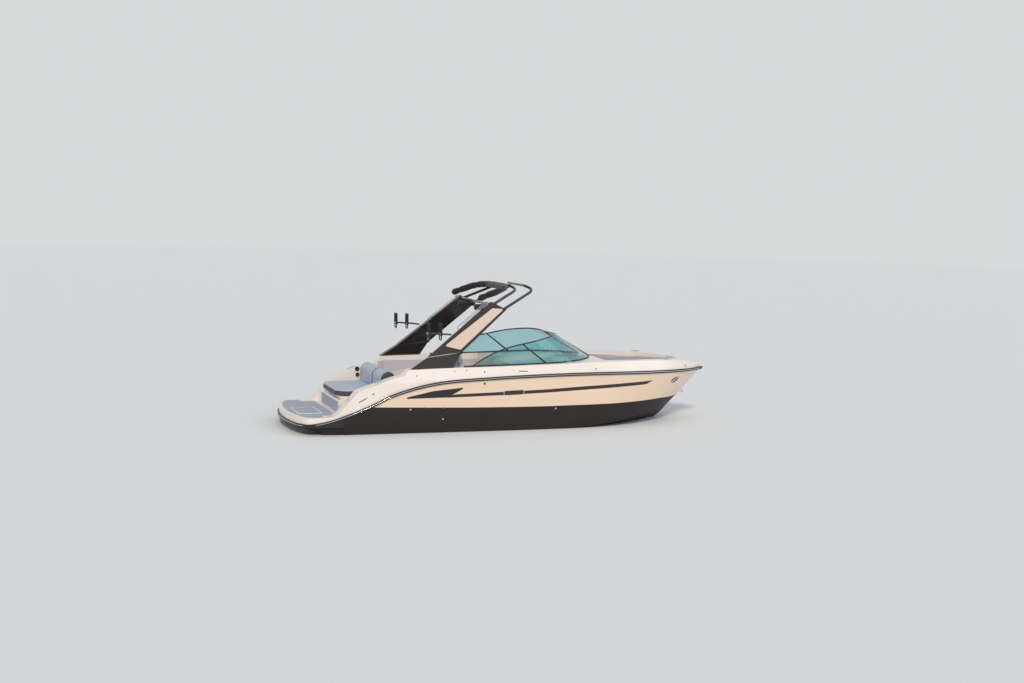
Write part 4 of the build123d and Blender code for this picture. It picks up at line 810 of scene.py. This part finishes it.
# Aft backrests: two thick rolls of foam in light vinyl, each with a crease round its middle
# and a dark round-topped end cap let in behind a piping
def bolster(name, node):
    """A section with a round top carried across the boat. Its half width is 0.135 m, drawn in
    by 7 mm at the ends and at the middle crease as exp(-(distance / width)^2)."""
    low, high = [np.array(c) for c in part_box(node)]
    mid_x, half_x, foot = (low[0] + high[0]) / 2, (high[0] - low[0]) / 2, low[2]
    turn = np.linspace(0, math.pi, 25)
    centre = high[2] - half_x
    arch = np.column_stack([half_x * np.cos(turn), centre + half_x * np.sin(turn)])
    left = [(-half_x, z) for z in np.linspace(centre, foot + 0.02, 8)[1:]]
    right = [(half_x, z) for z in np.linspace(foot + 0.02, centre, 8)[:-1]]
    section = np.array([*arch, *left, (-half_x + 0.02, foot), (half_x - 0.02, foot), *right])
    middle = (low[1] + high[1]) / 2
    y = spaced(low[1] + 0.010, high[1] - 0.010, [middle], 0.03)
    pull = sum(np.exp(-((y - at) / width) ** 2) for at, width in
               ((y[0], 0.022), (y[-1], 0.022), (middle, 0.009)))
    heart = np.array([0.0, centre])
    rows = []
    for station, drawn in zip(y, pull):
        wrinkle = 1 + 0.004 * np.sin(section[:, 1] * 60 + station * 31) * (0.4 + drawn)
        rows.append((station, heart + (section - heart) * (1 - 0.05 * drawn) * wrinkle[:, None]))
    ends = []
    for station, row, side in ((y[0], rows[0][1], -1), (y[-1], rows[-1][1], 1)):
        ends.append([(station + side * bulge, heart + (row - heart) * share)
                     for share, bulge in ((0.94, 0.003), (0.8, 0.007), (0.5, 0.009),
                                          (0.15, 0.010))])
    rows = ends[0][::-1] + rows + ends[1]
    rings = np.stack([np.column_stack([mid_x + s[:, 0], np.full(len(s), at),
                                       np.maximum(s[:, 1], foot)]) for at, s in rows])
    points, faces = carried(rings)
    piece = mesh_piece(name, points, faces, vinyl)
    piece.data.materials.append(dark_vinyl.material)
    across = rings.shape[1]
    dark = [(k < 4 or k >= len(rows) - 5) for k in range(len(rows) - 1) for _ in range(across)]
    piece.data.polygons.foreach_set("material_index", [int(d) for d in dark] + [1, 1])
    pipes = [sweep(rings[k], circle(0.005, 8), closed=True, up=(0.0, 1.0, 0.0))
             for k in (4, len(rows) - 5)]
    piping = mesh_piece(name + "_piping", *joined(pipes), dark_vinyl)
    for one in (piece, piping):
        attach(one, "boat")
    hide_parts(node)


for side in ("starboard", "port"):
    bolster("backrest_" + side + "_cover", "backrest_" + side)

# Helm seat: a seat pad and a tall back pad in light vinyl with white borders, on a pedestal.
# Both are cut foam, sewn into two pieces of vinyl with a piping between.
low, high = [np.array(c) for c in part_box("helm_seat")]
pad_cover("helm_seat_cover", (low[0] + 0.09, low[1], low[2]), (high[0], high[1], low[2] + 0.125),
          vinyl, white_vinyl, "boat", ["helm_seat"], radii=(0.09, 0.09), creases=(-0.13, 0.13))
LEAN_BACK = math.radians(-97)
middle = np.array([low[0] + 0.075, (low[1] + high[1]) / 2, low[2] + 0.39])
back = np.array([[math.cos(LEAN_BACK), 0, math.sin(LEAN_BACK)], [0, 1, 0],
                 [-math.sin(LEAN_BACK), 0, math.cos(LEAN_BACK)]])
pad_cover("helm_back_cover", middle - (0.265, 0.25, 0.055), middle + (0.265, 0.25, 0.055),
          vinyl, white_vinyl, "boat", ["helm_seat"], radii=(0.09, 0.09), creases=(-0.13, 0.13),
          turned=back)

# Bow seats: three cushions on the U-shaped base, two backrests against the consoles, and
# padding round the well's inner sides sewn into upright panels
low, high = [np.array(c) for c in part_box("bow_cushion")]
seat = shell_of("bow_cushion")
FOOT_HALF, FOOT_FRONT, SEAT_HALF = 0.243, 2.700, 0.60
stations = np.arange(low[0] + 0.005, high[0] - 0.02, 0.02)
reach = np.array([on_side(seat, float(x), float((low[2] + high[2]) / 2), 1)[1] - 0.005
                  for x in stations])


def side_width(x, y):
    """A side cushion's y, stretched so that its outer edge lies along the well's side."""
    share = (abs(y) - FOOT_HALF) / (SEAT_HALF - FOOT_HALF)
    return np.sign(y) * (FOOT_HALF + share * (np.interp(x, stations, reach) - FOOT_HALF))


def front_width(x, y):
    """The front cushion's y, drawn in to the well's width at each x."""
    return y / SEAT_HALF * np.interp(x, stations, reach)


for name, lo, hi, warp in (
        ("bow_cushion_starboard", (low[0] + 0.005, -SEAT_HALF), (FOOT_FRONT - 0.006, -FOOT_HALF),
         side_width),
        ("bow_cushion_port", (low[0] + 0.005, FOOT_HALF), (FOOT_FRONT - 0.006, SEAT_HALF),
         side_width),
        ("bow_cushion_front", (FOOT_FRONT, -SEAT_HALF), (high[0] - 0.03, SEAT_HALF),
         front_width)):
    pad_cover(name, (*lo, low[2]), (*hi, high[2]), vinyl, dark_vinyl, "boat", ["bow_cushion"],
              radii=(0.05, 0.05), creases=(0.0,), along=0, warp=warp)
facing_bow = np.array([[0.0, 0, 1], [0, 1, 0], [-1, 0, 0]])
for name in ("bow_backrest_starboard", "bow_backrest_port"):
    low, high = [np.array(c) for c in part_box(name)]
    mid, half = (low + high) / 2, (high - low) / 2
    pad_cover(name + "_cover", mid - half[[2, 1, 0]], mid + half[[2, 1, 0]], vinyl, white_vinyl,
              "boat", [name], radii=(0.05, 0.05), edge=0.02, creases=(0.0,), turned=facing_bow)
# The side pads are light grey vinyl. Their finish is a darker grey, painted shade for the well's
# upright inner sides.
shaded_grey_vinyl = Finish("vinyl_grey_painted_shade", "#A9A6AF", rough=0.46)
shaded_grey_vinyl.set("Base Color", shaded_grey_vinyl.blend(shaded_grey_vinyl.noise(4.0, 3.0, 0.6), "#B0AEB8",
                                              "#9D9AA5"))
shaded_grey_vinyl.bump(shaded_grey_vinyl.noise(700.0, 2.0, 0.6), 0.0005, 0.5)
pads = shell_of("bow_side_pads")
low, high = [np.array(c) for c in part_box("bow_side_pads")]
lines = []
for turn in np.linspace(-math.radians(135), math.radians(135), 300):
    out = Vector((math.cos(turn), math.sin(turn), 0))
    start = Vector((2.35, 0.0, (low[2] + high[2]) / 2))
    near = pads.ray_cast(start, out)[0]
    if near is None or near.x < low[0] + 0.004:
        continue
    far = pads.ray_cast(near + out * 0.001, out)[0]
    lines.append((*near[:2], *far[:2]))
lines = np.array(lines)
step = np.linalg.norm(np.diff(lines[:, :2], axis=0), axis=1)
length = np.concatenate([[0], np.cumsum(step)])
panel_width = length[-1] / round(length[-1] / 0.30)
share = (length / panel_width) % 1.0
swell = 1 - abs(2 * share - 1) ** 5
tall = high[2] - low[2]
inward = lines[:, :2] - lines[:, 2:]
inward /= np.linalg.norm(inward, axis=1)[:, None]
face = [(0.55, 0.995), (0.85, 0.97), (1.0, 0.90), (1.08, 0.7), (1.1, 0.5), (1.08, 0.3),
        (1.0, 0.10), (0.85, 0.03), (0.55, 0.005)]
thick = np.linalg.norm(lines[:, :2] - lines[:, 2:], axis=1)
rings = []
for across, up in [(0.0, 0.0), (0.0, 1.0), *face]:
    reach = thick * across - (1 - swell) * 0.008 * (across > 0.5)
    rings.append(np.column_stack([lines[:, 2:] + inward * reach[:, None],
                                  np.full(len(lines), low[2] + tall * up)]))
rings = np.stack(rings, 1)
side_pads = mesh_piece("bow_side_pad_cover", *carried(rings), shaded_grey_vinyl)
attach(side_pads, "boat")
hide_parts("bow_side_pads")

# Folded sun top: acrylic canvas rolled round its bows, strapped down over the hoop
canvas = Finish("canvas_black", "#17131A", rough=0.9, sheen_weight=0.3)
canvas.set("Base Color", canvas.blend(canvas.noise(6.0, 3.0, 0.6), "#19151C", "#110E14"))
canvas.bump(canvas.noise(900.0, 1.0, 0.6), 0.0006, 0.5)
BOOT_PATH = np.array([(-1.00, -0.838, 2.389), (-0.86, -0.828, 2.440), (-0.72, -0.815, 2.490),
                      (-0.61, -0.785, 2.527), (-0.53, -0.725, 2.552), (-0.455, -0.64, 2.569),
                      (-0.40, -0.55, 2.580), (-0.374, -0.44, 2.585), (-0.370, -0.22, 2.585),
                      (-0.370, 0.0, 2.585)])
BOOT_RADIUS = 0.0585
BOOT_PATH = np.concatenate([BOOT_PATH, (BOOT_PATH * (1, -1, 1))[-2::-1]])


def smooth_path(points, count):
    """Evenly spaced points on a smooth curve through a few, by Catmull-Rom blending."""
    points = np.asarray(points, float)
    padded = np.concatenate([2 * points[:1] - points[1:2], points,
                             2 * points[-1:] - points[-2:-1]])
    t = np.linspace(0, len(points) - 1 - 1e-6, count)
    k = t.astype(int)
    u = (t - k)[:, None]
    a, b, c, d = (padded[k + n] for n in range(4))
    return 0.5 * (2 * b + (c - a) * u + (2 * a - 5 * b + 4 * c - d) * u ** 2
                  + (3 * b - a - 3 * c + d) * u ** 3)


spine = smooth_path(BOOT_PATH, 240)
points, faces = sweep(spine, circle(1.0, 40))
rings = points.reshape(len(spine), -1, 3)
t = np.linspace(0, 1, len(spine))[:, None]
around = np.linspace(0, 2 * np.pi, 40, endpoint=False)[None, :]
STRAPS = np.array([0.06, 0.22, 0.36, 0.5, 0.64, 0.78, 0.94])
cinch = np.exp(-((t - STRAPS[None, :]) / 0.010) ** 2).sum(1)[:, None]
ends = np.clip(np.minimum(t, 1 - t) / 0.02, 0, 1) ** 0.5
radius = (BOOT_RADIUS * (0.15 + 0.85 * ends) * (1 - 0.14 * cinch)
          + 0.0030 * np.sin(around * 5 + t * 60) * (1 - cinch)
          + 0.0022 * np.sin(around * 9 - t * 95 + 1.3) * (1 - cinch))
centre = spine[:, None, :]
rings = centre + (rings - centre) * radius[:, :, None]
boot = mesh_piece("sun_top_cover", rings.reshape(-1, 3), faces, canvas)
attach(boot, "tower")
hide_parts("sun_top_boot")
